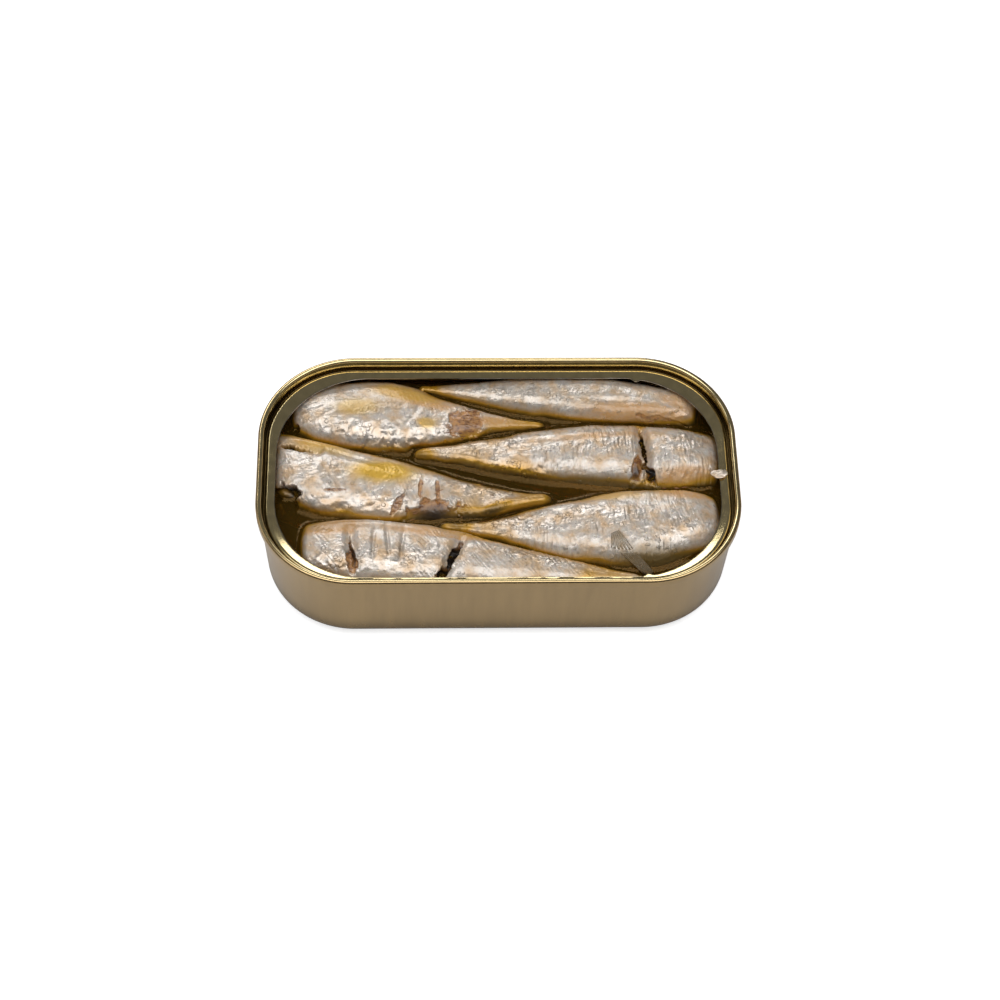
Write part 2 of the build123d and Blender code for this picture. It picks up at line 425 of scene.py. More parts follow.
@dataclass(frozen=True)
class SardineSkin:
    """Cooked sardine in oil: thin silver skin over tan flesh, with yellow fat and a wet coat of oil.

    The silver layer glints, the flesh and fat are duller and let a little light in, and the flanks are
    stained amber where they stand in oil. Painted shade darkens them lower in the oil, in creases, splits
    and hollows and on some back-facing flanks, over the fish's own darker back skin and flesh.
    """

    name: str = "sardine_skin_cooked"
    silver: str = "d9d0c6"
    warm: str = "cfae86"
    grey: str = "908678"
    fat: str = "dcb040"
    flesh: str = "bf8849"
    brown: str = "6e3f18"
    tan: str = "cda06c"
    # partly the dark back skin, partly painted shade on lower flanks, furrows and too-bright parts
    shade: str = "6e5a30"
    amber: str = "bd8d24"
    # painted shade: the dark colour of the flanks lowest in the oil
    low_flank_shade: str = "41330f"
    # painted shade in split bottoms, the hollow and dark patches, over dark brown flesh
    deep: str = "1c0f06"
    # painted shade in the creases of the scale rows
    row: str = "7f6c58"
    blotch_mm: float = 3.0
    cloud_mm: float = 1.1
    speck_mm: float = 0.5

    def make(self) -> bpy.types.Material:
        """Build the material.

        Returns:
            The finished material.
        """
        material, tree = start_material(self.name)
        place = add(tree, "ShaderNodeTexCoord").outputs["Object"]
        blotch = noise(tree, place, self.blotch_mm, 5.0)
        cloud = noise(tree, place, self.cloud_mm, 4.0)
        speck = noise(tree, place, self.speck_mm, 3.0)
        bare, oil_soak_and_shade = mask(tree, "bare"), mask(tree, "oil_soak_and_shade")
        colour = blend(tree, ramp(tree, blotch, 0.42, 0.66, 0.0, 0.85), rgb(self.silver), rgb(self.warm))
        colour = blend(tree, ramp(tree, cloud, 0.52, 0.72, 0.0, 0.5), colour, rgb(self.grey))
        # painted shade: the scale rows' creases are darker
        colour = blend(tree, work_out(tree, "MULTIPLY", mask(tree, "rows"), 0.32), colour, rgb(self.row))
        flesh = blend(tree, ramp(tree, cloud, 0.4, 0.68), rgb(self.flesh), rgb(self.brown))
        # tan flesh, and partly painted shade on back-facing upper flanks
        tan_and_flank_shade = ramp(tree, cloud, 0.3, 0.7, 1.15, 0.6)
        tan_and_flank_shade = work_out(tree, "MULTIPLY", mask(tree, "tan"), tan_and_flank_shade, clamp=True)
        # amber from the oil on the flanks, and painted shade darkening them further down
        wet = work_out(tree, "MULTIPLY", oil_soak_and_shade, 1.9, clamp=True)
        low = work_out(tree, "MULTIPLY_ADD", oil_soak_and_shade, 2.2, -1.2, clamp=True)
        for weight, tone in ((tan_and_flank_shade, rgb(self.tan)), (mask(tree, "fat"), rgb(self.fat)), (bare, flesh),
                             (wet, rgb(self.amber)), (low, rgb(self.low_flank_shade)),
                             (mask(tree, "shade"), rgb(self.shade)), (mask(tree, "deep"), rgb(self.deep))):
            colour = blend(tree, weight, colour, tone)
        gone = work_out(tree, "MULTIPLY_ADD", tan_and_flank_shade, 0.8, bare)
        skin = work_out(tree, "SUBTRACT", 1.0, gone, clamp=True)
        sheen = work_out(tree, "MULTIPLY_ADD", mask(tree, "gleam"), 0.4, 0.35)
        metal = work_out(tree, "MULTIPLY", sheen, skin, clamp=True)
        rough = ramp(tree, blotch, 0.3, 0.7, 0.25, 0.45)
        rise = work_out(tree, "MULTIPLY_ADD", speck, 0.6, cloud)
        bump = bumps(tree, rise, 0.7, 0.12)
        shader = add(tree, "ShaderNodeBsdfPrincipled",
                     {"Base Color": colour, "Metallic": metal, "Roughness": rough, "Normal": bump,
                      "Coat Weight": 0.5, "Coat Roughness": 0.09, "Coat IOR": 1.47,
                      "Subsurface Weight": 0.12, "Subsurface Radius": (1.0, 0.5, 0.25),
                      "Subsurface Scale": 1.2 * MM})
        add(tree, "ShaderNodeOutputMaterial", {"Surface": shader.outputs[0]})
        return material


@dataclass(frozen=True)
class CookedFlesh:
    """Cooked fish muscle: tan to brown fibres, each a tone of its own, moist and a little translucent."""

    name: str = "sardine_muscle_cooked"
    pale: str = "ba844b"
    brown: str = "74441d"
    speck_mm: float = 0.3

    def make(self) -> bpy.types.Material:
        """Build the material.

        Returns:
            The finished material.
        """
        material, tree = start_material(self.name)
        place = add(tree, "ShaderNodeTexCoord").outputs["Object"]
        speck = noise(tree, place, self.speck_mm, 2.0)
        colour = blend(tree, mask(tree, "tone"), rgb(self.pale), rgb(self.brown))
        rough = ramp(tree, speck, 0.3, 0.7, 0.35, 0.55)
        bump = bumps(tree, speck, 0.5, 0.05)
        shader = add(tree, "ShaderNodeBsdfPrincipled",
                     {"Base Color": colour, "Roughness": rough, "Normal": bump, "Coat Weight": 0.5,
                      "Coat Roughness": 0.1, "Coat IOR": 1.47, "Subsurface Weight": 0.15,
                      "Subsurface Radius": (1.0, 0.5, 0.25), "Subsurface Scale": 0.8 * MM})
        add(tree, "ShaderNodeOutputMaterial", {"Surface": shader.outputs[0]})
        return material


@dataclass(frozen=True)
class PackingOil:
    """Warm vegetable oil with fine fish juices: glossy, golden where thin and brown where deep."""

    name: str = "vegetable_oil_amber"
    tint: str = "e8b13c"
    clear: float = 0.96
    depth_tint: tuple[float, float, float, float] = (0.9, 0.78, 0.22, 1.0)
    density: float = 190.0
    gleam: str = "dcb478"
    ripple_mm: float = 4.0

    def make(self) -> bpy.types.Material:
        """Build the material.

        Returns:
            The finished material.
        """
        material, tree = start_material(self.name)
        place = add(tree, "ShaderNodeTexCoord").outputs["Object"]
        ripple = noise(tree, place, self.ripple_mm, 1.0)
        bump = bumps(tree, ripple, 0.15, 0.3)
        shader = add(tree, "ShaderNodeBsdfPrincipled",
                     {"Base Color": rgb(self.tint), "Roughness": 0.03, "IOR": 1.47,
                      "Transmission Weight": self.clear, "Specular IOR Level": 0.3,
                      "Specular Tint": rgb(self.gleam), "Normal": bump})
        body = add(tree, "ShaderNodeVolumeAbsorption", {"Color": self.depth_tint, "Density": self.density})
        add(tree, "ShaderNodeOutputMaterial", {"Surface": shader.outputs[0], "Volume": body.outputs[0]})
        return material


@dataclass(frozen=True)
class StudioPaper:
    """White paper floor that shows white to the camera and keeps the tin's shadow."""

    name: str = "white_paper_floor"
    white: float = 0.8
    lift: float = 0.74

    def make(self) -> bpy.types.Material:
        """Build the material.

        Returns:
            The finished material.
        """
        material, tree = start_material(self.name)
        seen = add(tree, "ShaderNodeLightPath").outputs["Is Camera Ray"]
        white = (self.white, self.white, self.white, 1)
        paper = add(tree, "ShaderNodeBsdfDiffuse", {"Color": white}).outputs[0]
        glow = work_out(tree, "MULTIPLY", seen, self.lift)
        light = add(tree, "ShaderNodeEmission", {"Strength": glow}).outputs[0]
        both = add(tree, "ShaderNodeAddShader", {0: paper, 1: light}).outputs[0]
        add(tree, "ShaderNodeOutputMaterial", {"Surface": both})
        return material


# ------------------------------------------------------------------ tin
def rounded_line(corners: list[tuple[float, float]], bends: list[float], pitch: float) -> np.ndarray:
    """Round a section line at its inner corners and fill it with points.

    Args:
        corners: inset and height of each corner, in millimetres.
        bends: radius at each inner corner.
        pitch: largest distance between two points of a bend.

    Returns:
        The points along the line.
    """
    line = [np.array(corners[0], float)]
    for number, radius in enumerate(bends, start=1):
        here, before, after = (np.array(corners[number + step], float) for step in (0, -1, 1))
        back = (before - here) / np.linalg.norm(before - here)
        on = (after - here) / np.linalg.norm(after - here)
        half = math.acos(float(np.clip(back @ on, -1, 1))) / 2
        start, end = here + back * radius / math.tan(half), here + on * radius / math.tan(half)
        middle = here + (back + on) / np.linalg.norm(back + on) * radius / math.sin(half)
        steps = max(3, math.ceil((math.pi - 2 * half) * radius / pitch))
        for share in np.linspace(0, 1, steps + 1):
            spoke = (start - middle) * (1 - share) + (end - middle) * share
            line.append(middle + spoke / np.linalg.norm(spoke) * radius)
    line.append(np.array(corners[-1], float))
    return np.array(line)


def shift_line(line: np.ndarray, distance: float) -> np.ndarray:
    """Move a section line sideways to its left.

    Args:
        line: points along it.
        distance: how far it moves.

    Returns:
        As many points.
    """
    run = np.gradient(line, axis=0)
    run /= np.linalg.norm(run, axis=1, keepdims=True)
    return line + distance * np.stack([-run[:, 1], run[:, 0]], axis=1)


@dataclass
class Rim:
    """The rim's rounded rectangle, in millimetres, and the stations round it."""

    half_length: float
    half_width: float
    corner: float = 21.2
    long_steps: int = 184
    short_steps: int = 40
    corner_steps: int = 54

    def stations(self) -> tuple[np.ndarray, np.ndarray, np.ndarray]:
        """Walk round the rim.

        Returns:
            The centre that each station's inset is measured towards, its outward direction and its path
            length.
        """
        core_x, core_y = self.half_length - self.corner, self.half_width - self.corner
        centres, ways = [], []
        sides = ((core_x, core_y, 0), (-core_x, core_y, 1), (-core_x, -core_y, 2), (core_x, -core_y, 3))
        for number, (x, y, quarter) in enumerate(sides):
            for step in range(self.corner_steps):
                turn = math.pi / 2 * (quarter + step / self.corner_steps)
                centres.append((x, y))
                ways.append((math.cos(turn), math.sin(turn)))
            steps = self.long_steps if number % 2 == 0 else self.short_steps
            next_x, next_y, _ = sides[(number + 1) % 4]
            turn = math.pi / 2 * (quarter + 1)
            for step in range(steps):
                share = step / steps
                centres.append((x + (next_x - x) * share, y + (next_y - y) * share))
                ways.append((math.cos(turn), math.sin(turn)))
        centre, way = np.array(centres), np.array(ways)
        outer = centre + way * self.corner
        gaps = np.linalg.norm(np.roll(outer, -1, axis=0) - outer, axis=1)
        return centre, way, np.concatenate([[0], np.cumsum(gaps)])

    def sweep(self, inset: np.ndarray, height: np.ndarray) -> np.ndarray:
        """Place a section at each station.

        Args:
            inset: inset from the rim's outer face, by station and section point.
            height: height of the same points.

        Returns:
            Points by station and section point.
        """
        centre, way, _ = self.stations()
        reach = self.corner - inset
        grid = np.empty(inset.shape + (3,))
        grid[:, :, 0] = centre[:, :1] + way[:, :1] * reach
        grid[:, :, 1] = centre[:, 1:] + way[:, 1:] * reach
        grid[:, :, 2] = height
        return grid


@dataclass
class TinMetal:
    """The can and the lid's rim, swept from their sheet sections."""

    sheet: float = 0.22
    seam_gap: float = 0.03
    seam_height: float = 2.4
    hook_room: float = 0.25
    crest_bend: float = 0.48
    neck_bend: float = 2.0
    draft: float = 0.9
    base_bend: float = 3.4
    base_border: float = 6.5
    panel_step: float = 0.6
    panel_slope: float = 0.9
    panel_bend: float = 0.5
    chuck_lean: float = 0.25
    groove_depth: float = 3.3
    groove_width: float = 0.75
    groove_bend: float = 0.3
    ledge_drop: float = 2.3
    ledge_slope: float = 0.15
    tear_ends: float = 4.0
    tear_back: float = 4.2
    tear_front: float = 2.85
    tear_corner: float = 20.0
    nib_place: float = 31.5
    nib_half: float = 1.3
    nib_reach: float = 0.8
    nib_point: float = 1.3
    tear_search: float = 12.0
    tear_rounds: int = 30
    tear_seed: int = 3
    tear_waves: tuple[tuple[float, float], ...] = ((2.2, 0.03), (0.7, 0.015))
    burr: float = 0.02
    burr_width: float = 0.25
    ledge_steps: int = 9
    ring_pitch: float = 0.07
    can_pitch: float = 0.3
    can_row: float = 1.2
    sharp_degrees: float = 48.0
    # painted shade in the groove: depths below the top where it starts and where it is full
    groove_shade_depths: tuple[float, float] = (1.3, 2.1)
    foot_shade: float = 9.0
    foot_shade_share: float = 0.8
    inner_shade_top: float = 12.0
    inner_shade_full: float = 4.0

    def __post_init__(self) -> None:
        """Take the rim's size and height from the CAD seam ring."""
        low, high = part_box("seam_ring")
        self.rim = Rim(high.x / MM, high.y / MM)
        self.height = high.z / MM

    def layer(self, number: int) -> float:
        """How far in the middle of a folded layer lies; the outermost is 0."""
        return self.sheet / 2 + number * (self.sheet + self.seam_gap)

    def wall_inset(self, height: float) -> float:
        """Find how far in the wall's inner face lies at a height."""
        top, foot = self.height - self.seam_height, self.panel_step
        return self.layer(3) + self.sheet / 2 + self.draft * max(0.0, (top - height) / (top - foot))

    def torn_edge(self) -> np.ndarray:
        """Find the torn edge, by halving, as a rounded rectangle with a nib and a fine waver.

        Returns:
            Its inset at each station.
        """
        centre, way, length = self.rim.stations()
        outer = centre + way * self.rim.corner
        back, front = self.rim.half_width - self.tear_back, -self.rim.half_width + self.tear_front
        half_x = self.rim.half_length - self.tear_ends
        half_y, middle_y = (back - front) / 2, (back + front) / 2
        low, high = np.zeros(len(outer)), np.full(len(outer), self.tear_search)
        for _ in range(self.tear_rounds):
            inset = (low + high) / 2
            place = outer - way * inset[:, None]
            past = np.abs(place - (0, middle_y)) - (half_x - self.tear_corner, half_y - self.tear_corner)
            gap = np.linalg.norm(np.maximum(past, 0), axis=1) + np.minimum(past.max(axis=1), 0)
            gap -= self.tear_corner
            low, high = np.where(gap > 0, inset, low), np.where(gap > 0, high, inset)
        place = outer - way * low[:, None]
        nib = np.clip(1 - np.abs(place[:, 0] - self.nib_place) / self.nib_half, 0, 1)
        nib *= np.abs(way[:, 1]) > 0.9
        grain = Grain(self.tear_seed)
        walk = np.stack([length[:-1], length[:-1] * 0, length[:-1] * 0], axis=1)
        edge = low + self.nib_reach * nib ** self.nib_point
        for cell, height in self.tear_waves:
            edge = edge + height * grain.at(walk, cell)
        return edge

    def ring_section(self) -> np.ndarray:
        """Draw the middle line of the lid's folded rim, up to where the ledge starts.

        Returns:
            Inset and height of each point.
        """
        fold = self.height - self.seam_height + self.sheet / 2
        crest = self.height - self.sheet / 2
        hook_end = self.height - 2 * self.sheet - self.seam_gap - self.hook_room
        groove = self.height - self.groove_depth + self.sheet / 2
        ledge = self.height - self.ledge_drop - self.sheet / 2
        chuck = self.layer(4) + self.chuck_lean
        shoulder = chuck + self.groove_width
        fold_bend = 0.9 * (self.sheet + self.seam_gap)
        corners = [(self.layer(2), hook_end), (self.layer(2), fold), (self.layer(0), fold),
                   (self.layer(0), crest), (self.layer(4), crest), (chuck, groove), (shoulder, groove),
                   (shoulder, ledge), (shoulder + 2 * self.groove_bend, ledge)]
        bends = [fold_bend, fold_bend, self.crest_bend, self.crest_bend, self.groove_bend, self.groove_bend,
                 self.groove_bend]
        return rounded_line(corners, bends, self.ring_pitch)

    def build_ring(self, material: bpy.types.Material) -> bpy.types.Object:
        """Make the seam ring with its torn ledge.

        Args:
            material: the lacquered tinplate.

        Returns:
            The piece, which stands for the CAD ring.
        """
        line = self.ring_section()
        face, under = shift_line(line, self.sheet / 2), shift_line(line, -self.sheet / 2)
        torn = self.torn_edge()
        start = line[-1, 0]
        steps = np.linspace(0, 1, self.ledge_steps + 1)[1:]
        run = (torn - start)[:, None] * steps[None]
        curl = self.burr * smooth_step(self.burr_width, 0.0, (torn - start)[:, None] - run)
        drop = self.ledge_slope * run - curl
        sides = []
        for side in (face, under):
            inward, up = (np.tile(side[:, axis], (len(torn), 1)) for axis in (0, 1))
            sides.append((np.concatenate([inward, start + run], axis=1),
                          np.concatenate([up, side[-1, 1] - drop], axis=1)))
        (face_in, face_up), (under_in, under_up) = sides
        inset = np.concatenate([face_in, under_in[:, ::-1]], axis=1)
        height = np.concatenate([face_up, under_up[:, ::-1]], axis=1)
        half = face_in.shape[1]
        gold = smooth_step(0.25, 0.75, face_in[0])
        shoulder = self.layer(4) + self.chuck_lean + self.groove_width
        # painted shade in the rim's groove and on the lower chuck wall
        painted_shade = smooth_step(*(self.height - depth for depth in self.groove_shade_depths), face_up[0])
        painted_shade *= (face_in[0] > self.layer(3)) * smooth_step(shoulder - 0.02, shoulder - 0.2, face_in[0])
        cut = np.zeros(2 * half)
        cut[half - 1:half + 1] = 1
        return self.finish_piece("seam_ring_sheet", "seam_ring", inset, height, True,
                                 {"gold": np.concatenate([gold, gold[::-1]]), "cut": cut,
                                  "painted_shade": np.concatenate([painted_shade, painted_shade * 0])}, material)

    def build_can(self, material: bpy.types.Material) -> bpy.types.Object:
        """Make the drawn can below the seam.

        Args:
            material: the lacquered tinplate.

        Returns:
            The piece, which stands for the CAD can.
        """
        crest = self.height - self.sheet - self.seam_gap - self.sheet / 2
        fold = self.height - self.seam_height
        border = self.panel_step + self.sheet / 2
        foot = self.layer(3) + self.draft
        step = foot + self.base_border
        panel = step + self.panel_slope
        hook_bend = self.crest_bend - self.sheet - self.seam_gap
        corners = [(self.layer(1), fold + self.sheet + self.hook_room), (self.layer(1), crest),
                   (self.layer(3), crest), (self.layer(3), fold), (foot, border), (step, border),
                   (panel, self.sheet / 2), (panel + 2 * self.panel_bend, self.sheet / 2)]
        bends = [hook_bend, hook_bend, self.neck_bend, self.base_bend - self.sheet / 2, self.panel_bend,
                 self.panel_bend]
        line = rounded_line(corners, bends, self.can_pitch)
        dense = [line[0]]
        for point in line[1:]:
            start = dense[-1]
            parts = max(1, int(np.linalg.norm(point - start) / self.can_row))
            dense += [start + (point - start) * share for share in np.linspace(0, 1, parts + 1)[1:]]
        line = np.array(dense)
        inner, outer = shift_line(line, self.sheet / 2), shift_line(line, -self.sheet / 2)
        section = np.concatenate([inner[::-1], outer])
        count = len(self.rim.stations()[0])
        inset, height = np.tile(section[:, 0], (count, 1)), np.tile(section[:, 1], (count, 1))
        gold = np.concatenate([np.ones(len(inner)), np.zeros(len(outer))])
        # painted shade: outside darker towards the foot, inside darker below the oil
        painted_shade = self.foot_shade_share * smooth_step(self.foot_shade, 1.0, outer[:, 1]) ** 1.5
        inner_shade = smooth_step(self.inner_shade_top, self.inner_shade_full, inner[:, 1])
        return self.finish_piece("can_wall_and_base", "can_body", inset, height, False,
                                 {"gold": gold, "cut": gold * 0,
                                  "painted_shade": np.concatenate([inner_shade[::-1], painted_shade])}, material)

    def finish_piece(self, name: str, node: str, inset: np.ndarray, height: np.ndarray, ring: bool,
                     masks: dict[str, np.ndarray], material: bpy.types.Material) -> bpy.types.Object:
        """Turn a swept section into a closed piece with its masks.

        Args:
            name: the piece's name.
            node: the CAD node that it stands for.
            inset: insets by station and section point.
            height: heights of the same points.
            ring: whether the section closes on itself; otherwise both of its ends are capped.
            masks: attribute values by section point.
            material: its finish.

        Returns:
            The piece.
        """
        grid = self.rim.sweep(inset, height)
        rows, columns = grid.shape[:2]
        here = np.arange(rows * columns).reshape(rows, columns)
        after = np.roll(here, -1, axis=0)
        if ring:
            side = np.roll(here, -1, axis=1), np.roll(after, -1, axis=1)
            faces = np.stack([here, after, side[1], side[0]], axis=-1).reshape(-1, 4).tolist()
        else:
            corners = [here[:, :-1], after[:, :-1], after[:, 1:], here[:, 1:]]
            faces = np.stack(corners, axis=-1).reshape(-1, 4).tolist()
            faces += [here[::-1, 0].tolist(), here[:, -1].tolist()]
        piece = mesh_piece(name, grid.reshape(-1, 3), faces, material)
        face_outwards(piece)
        piece.data.set_sharp_from_angle(angle=math.radians(self.sharp_degrees))
        for key, values in masks.items():
            set_mask(piece, key, np.tile(values, rows))
        settle(piece, node)
        return piece


# ------------------------------------------------------------------ fish
# How marks end, in shares of a mark's half size; only the cleft's wave is in millimetres, and its sides
# and the soft fall are a power and a rate.
SOFT_FALL = 1.4
TORN_OUTSIDE, TORN_INSIDE, TORN_WAVE = 1.15, 0.78, 0.36
CLEFT_SIDES, CLEFT_WAVE = 0.7, 0.45
LIP_PLACE, LIP_WIDTH, LIP_WAVE = 1.12, 0.14, 0.3


class Outline(Enum):
    """How a mark ends."""

    SOFT = "fades out"
    TORN = "ragged outline"
    CLEFT = "sides that slope to a narrow bottom"


@dataclass(frozen=True)
class MarkLook:
    """What one kind of mark does to the skin: moves in millimetres outwards, and ramps of its masks."""

    outline: Outline
    move: float = 0.0
    lip: float = 0.0
    crumple: float = 0.0
    masks: tuple[tuple[str, float, float], ...] = ()


class MarkKind(Enum):
    """The kinds of mark on a fish."""

    # SPLIT: painted shade at its bottom
    SPLIT = MarkLook(Outline.CLEFT, -2.4, 0.16, 0.0, (("bare", 0.0, 0.3), ("deep", 0.1, 0.5)))
    # FURROW: painted shade in the crease
    FURROW = MarkLook(Outline.SOFT, -0.45, 0.0, 0.0, (("shade", 0.5, 1.9),))
    SWELL = MarkLook(Outline.SOFT, 0.6)
    BARE = MarkLook(Outline.TORN, -0.32, 0.1, 0.0, (("bare", 0.0, 1.0),))
    FAT = MarkLook(Outline.SOFT, 0.08, 0.0, 0.0, (("fat", 0.05, 0.75),))
    GLEAM = MarkLook(Outline.SOFT, 0.0, 0.0, 1.0, (("gleam", 0.0, 0.9),))
    SHEEN = MarkLook(Outline.SOFT, 0.0, 0.0, 0.25, (("gleam", 0.0, 0.9),))
    # SHADE: partly dark skin, partly painted shade
    SHADE = MarkLook(Outline.SOFT, 0.0, 0.0, 0.0, (("shade", 0.0, 0.9),))
    # HOLLOW: painted shade in the cavity
    HOLLOW = MarkLook(Outline.TORN, -2.6, 0.0, 0.0, (("deep", 0.1, 1.0),))
    # SOAK: partly amber from the oil, partly painted shade on lower flanks
    SOAK = MarkLook(Outline.SOFT, 0.0, 0.0, 0.0, (("oil_soak_and_shade", 0.0, 1.4),))
    # DARK: painted shade over dark brown flesh
    DARK = MarkLook(Outline.SOFT, 0.0, 0.0, 0.0, (("deep", 0.0, 1.15),))
    # TAN: tan flesh, partly painted shade on back-facing upper flanks
    TAN = MarkLook(Outline.SOFT, -0.12, 0.0, 0.0, (("tan", 0.08, 0.6),))


@dataclass(frozen=True)
class Mark:
    """One mark on a fish, placed in plan: millimetres in the tin's frame, degrees from +X."""

    kind: MarkKind
    x: float
    y: float
    turn: float
    length: float
    width: float
    strength: float = 1.0

    def profile(self, x: np.ndarray, y: np.ndarray, ragged: np.ndarray) -> tuple[np.ndarray, np.ndarray]:
        """Work out the mark at each point, with an outline moved about by the ragged relief.

        Args:
            x: places along the tin.
            y: places across it.
            ragged: the relief there.

        Returns:
            How full the mark is, from 0 to 1, and how full its lip is.
        """
        outline = self.kind.value.outline
        torn = outline is Outline.TORN
        turn = math.radians(self.turn)
        dx, dy = x - self.x, y - self.y
        along = (dx * math.cos(turn) + dy * math.sin(turn)) / (self.length / 2)
        wave = CLEFT_WAVE * ragged if outline is Outline.CLEFT else 0.0
        across = (-dx * math.sin(turn) + dy * math.cos(turn) + wave) / (self.width / 2)
        size = np.hypot(along, across)
        if outline is Outline.SOFT:
            shape = np.exp(-SOFT_FALL * size ** 2)
        elif torn:
            shape = smooth_step(TORN_OUTSIDE, TORN_INSIDE, size + TORN_WAVE * ragged)
        else:
            shape = np.clip(1 - size, 0, 1) ** CLEFT_SIDES
        return shape, np.exp(-((size + LIP_WAVE * ragged * torn - LIP_PLACE) / LIP_WIDTH) ** 2)


# Pitches of the skin's relief, in millimetres.
COARSE_CELL, CREASE_CELL, RAGGED_CELL = 6.5, 1.9, 1.5
PATCH_CELL, PORE_CELL, FLAKE_CELL = 3.5, 0.42, 2.6
MASKS = ("bare", "fat", "gleam", "shade", "deep", "rows", "flaky", "torn", "wet", "oil_soak_and_shade", "tan")


RAYS = 108  # rays round each measured section
CAP_LENGTH = 2.4  # millimetres over which a trunk's end rounds off
CAP_SHARE = 0.045  # share of the stations that lie in it
SKIN_ALLOWANCE = 0.1  # millimetres the smooth trunk keeps inside the CAD solid


@dataclass
class Sardine:
    """One trunk with its skin, from the CAD solid's shape and its own relief."""

    node: str
    cut_end: int
    seed: int
    rows: float
    row_lean: float
    marks: tuple[Mark, ...]
    stations: int = 520
    around: int = 184
    row_pitch: float = 0.95
    row_length: float = 5.0
    row_arc: float = 0.012
    row_height: float = 1.6
    sections: int = 130
    swell: float = 0.2
    crumple: float = 0.06
    more_crumple: float = 0.17
    crease: float = 0.05
    pores: float = 0.02
    # heights where the flanks turn amber from the oil and then darker with painted shade
    soak_and_shade_heights: tuple[float, float] = (19.6, 16.9)
    end_rows: int = 6
    masks: dict[str, np.ndarray] = field(default_factory=dict)

    def coarse(self) -> tuple[np.ndarray, np.ndarray, np.ndarray]:
        """Measure the CAD solid's sections with rays from its middle line.

        Returns:
            Places along the tin, the middle line's y and z there, and radii by station and angle.
        """
        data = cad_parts[self.node].data
        points = corner_places(data).astype(float) / MM
        tree = BVHTree.FromPolygons([Vector(p) for p in points], [tuple(p.vertices) for p in data.polygons])
        low, high = points[:, 0].min(), points[:, 0].max()
        xs = np.linspace(low + 0.05, high - 0.05, self.sections)
        middle = []
        for x in xs:
            near = points[np.abs(points[:, 0] - x) < 1.6]
            middle.append((near[:, 1:].min(0) + near[:, 1:].max(0)) / 2)
        middle = blur(np.array(middle), 4.0, 0)
        angles = np.arange(RAYS) / RAYS * 2 * math.pi
        radii = np.zeros((len(xs), RAYS))
        for i, x in enumerate(xs):
            centre = Vector((x, middle[i, 0], middle[i, 1]))
            for j, angle in enumerate(angles):
                hit = tree.ray_cast(centre, Vector((0, math.cos(angle), math.sin(angle))))
                radii[i, j] = hit[3] if hit[0] is not None else radii[i, j - 1]
        radii = blur(radii, 1.3, 0)
        return xs, middle, blur(np.concatenate([radii] * 3, axis=1), 1.3, 1)[:, RAYS:2 * RAYS]

    def trunk(self) -> np.ndarray:
        """Make the smooth trunk as a grid.

        Returns:
            Points by station and angle, in millimetres.
        """
        xs, middle, radii = self.coarse()
        span = xs[-1] - xs[0]
        ends = CAP_LENGTH / span
        share = np.linspace(0, 1, self.stations)
        from_end = np.minimum(share, 1 - share)
        along = np.where(from_end < CAP_SHARE, ends * (1 - np.cos(from_end / CAP_SHARE * math.pi / 2)),
                         ends + (from_end - CAP_SHARE) / (1 - 2 * CAP_SHARE) * (1 - 2 * ends))
        along = np.where(share < 0.5, along, 1 - along)
        round_off = np.sin(np.clip(from_end / CAP_SHARE, 0, 1) * math.pi / 2) ** 0.8
        turn = np.arange(self.around) / self.around
        angle = math.pi / 2 + 2 * math.pi * (turn - 0.6 * np.sin(2 * math.pi * turn) / (2 * math.pi))
        radius = resample(radii, along * (len(xs) - 1), (angle / (2 * math.pi) % 1) * RAYS)
        line = resample(middle, along * (len(xs) - 1), None)
        radius = (radius - SKIN_ALLOWANCE) * np.maximum(round_off, 0.02)[:, None]
        grid = np.empty((self.stations, self.around, 3))
        grid[:, :, 0] = (xs[0] + along * span)[:, None]
        grid[:, :, 1] = line[:, 0][:, None] + radius * np.cos(angle)
        grid[:, :, 2] = line[:, 1][:, None] + radius * np.sin(angle)
        return grid

    def relief(self, grid: np.ndarray) -> np.ndarray:
        """Raise and sink the skin, and set the masks that colour it.

        Args:
            grid: the smooth trunk.

        Returns:
            How far each point moves out, in millimetres.
        """
        flat = grid.reshape(-1, 3)
        grain = Grain(self.seed)
        x, y = flat[:, 0], flat[:, 1]
        top = smooth_step(-0.25, 0.25, grid_normals(grid).reshape(-1, 3)[:, 2])
        coarse = grain.layers(flat, COARSE_CELL, 2)
        crumple = 0.45 - np.abs(grain.layers(flat * (0.6, 1, 1) + 30, CREASE_CELL, 3))
        ragged = grain.layers(flat + 40, RAGGED_CELL, 3)
        move = self.swell * coarse
        rough = np.full(len(flat), self.crumple)
        masks = {name: np.zeros(len(flat)) for name in MASKS}
        for mark in self.marks:
            look = mark.kind.value
            shape, edge = (part * top for part in mark.profile(x, y, ragged))
            move += mark.strength * look.move * shape + look.lip * edge
            rough += self.more_crumple * look.crumple * mark.strength * shape
            for name, start, full in look.masks:
                fresh = np.clip(smooth_step(start, full, shape) * mark.strength, 0, 1)
                masks[name] = np.maximum(masks[name], fresh)
        quiet = (1 - masks["bare"]) * (1 - 0.7 * masks["fat"]) * (1 - masks["deep"])
        rows = self.scale_rows(grid, coarse, grain)
        patchy = np.clip(0.55 + 1.1 * grain.at(flat + 70, PATCH_CELL), 0, 1.2) * self.rows * quiet
        move += self.crease * rows * patchy + rough * crumple * quiet + self.crease * masks["bare"] * ragged
        move += self.pores * grain.at(flat + 5, PORE_CELL)
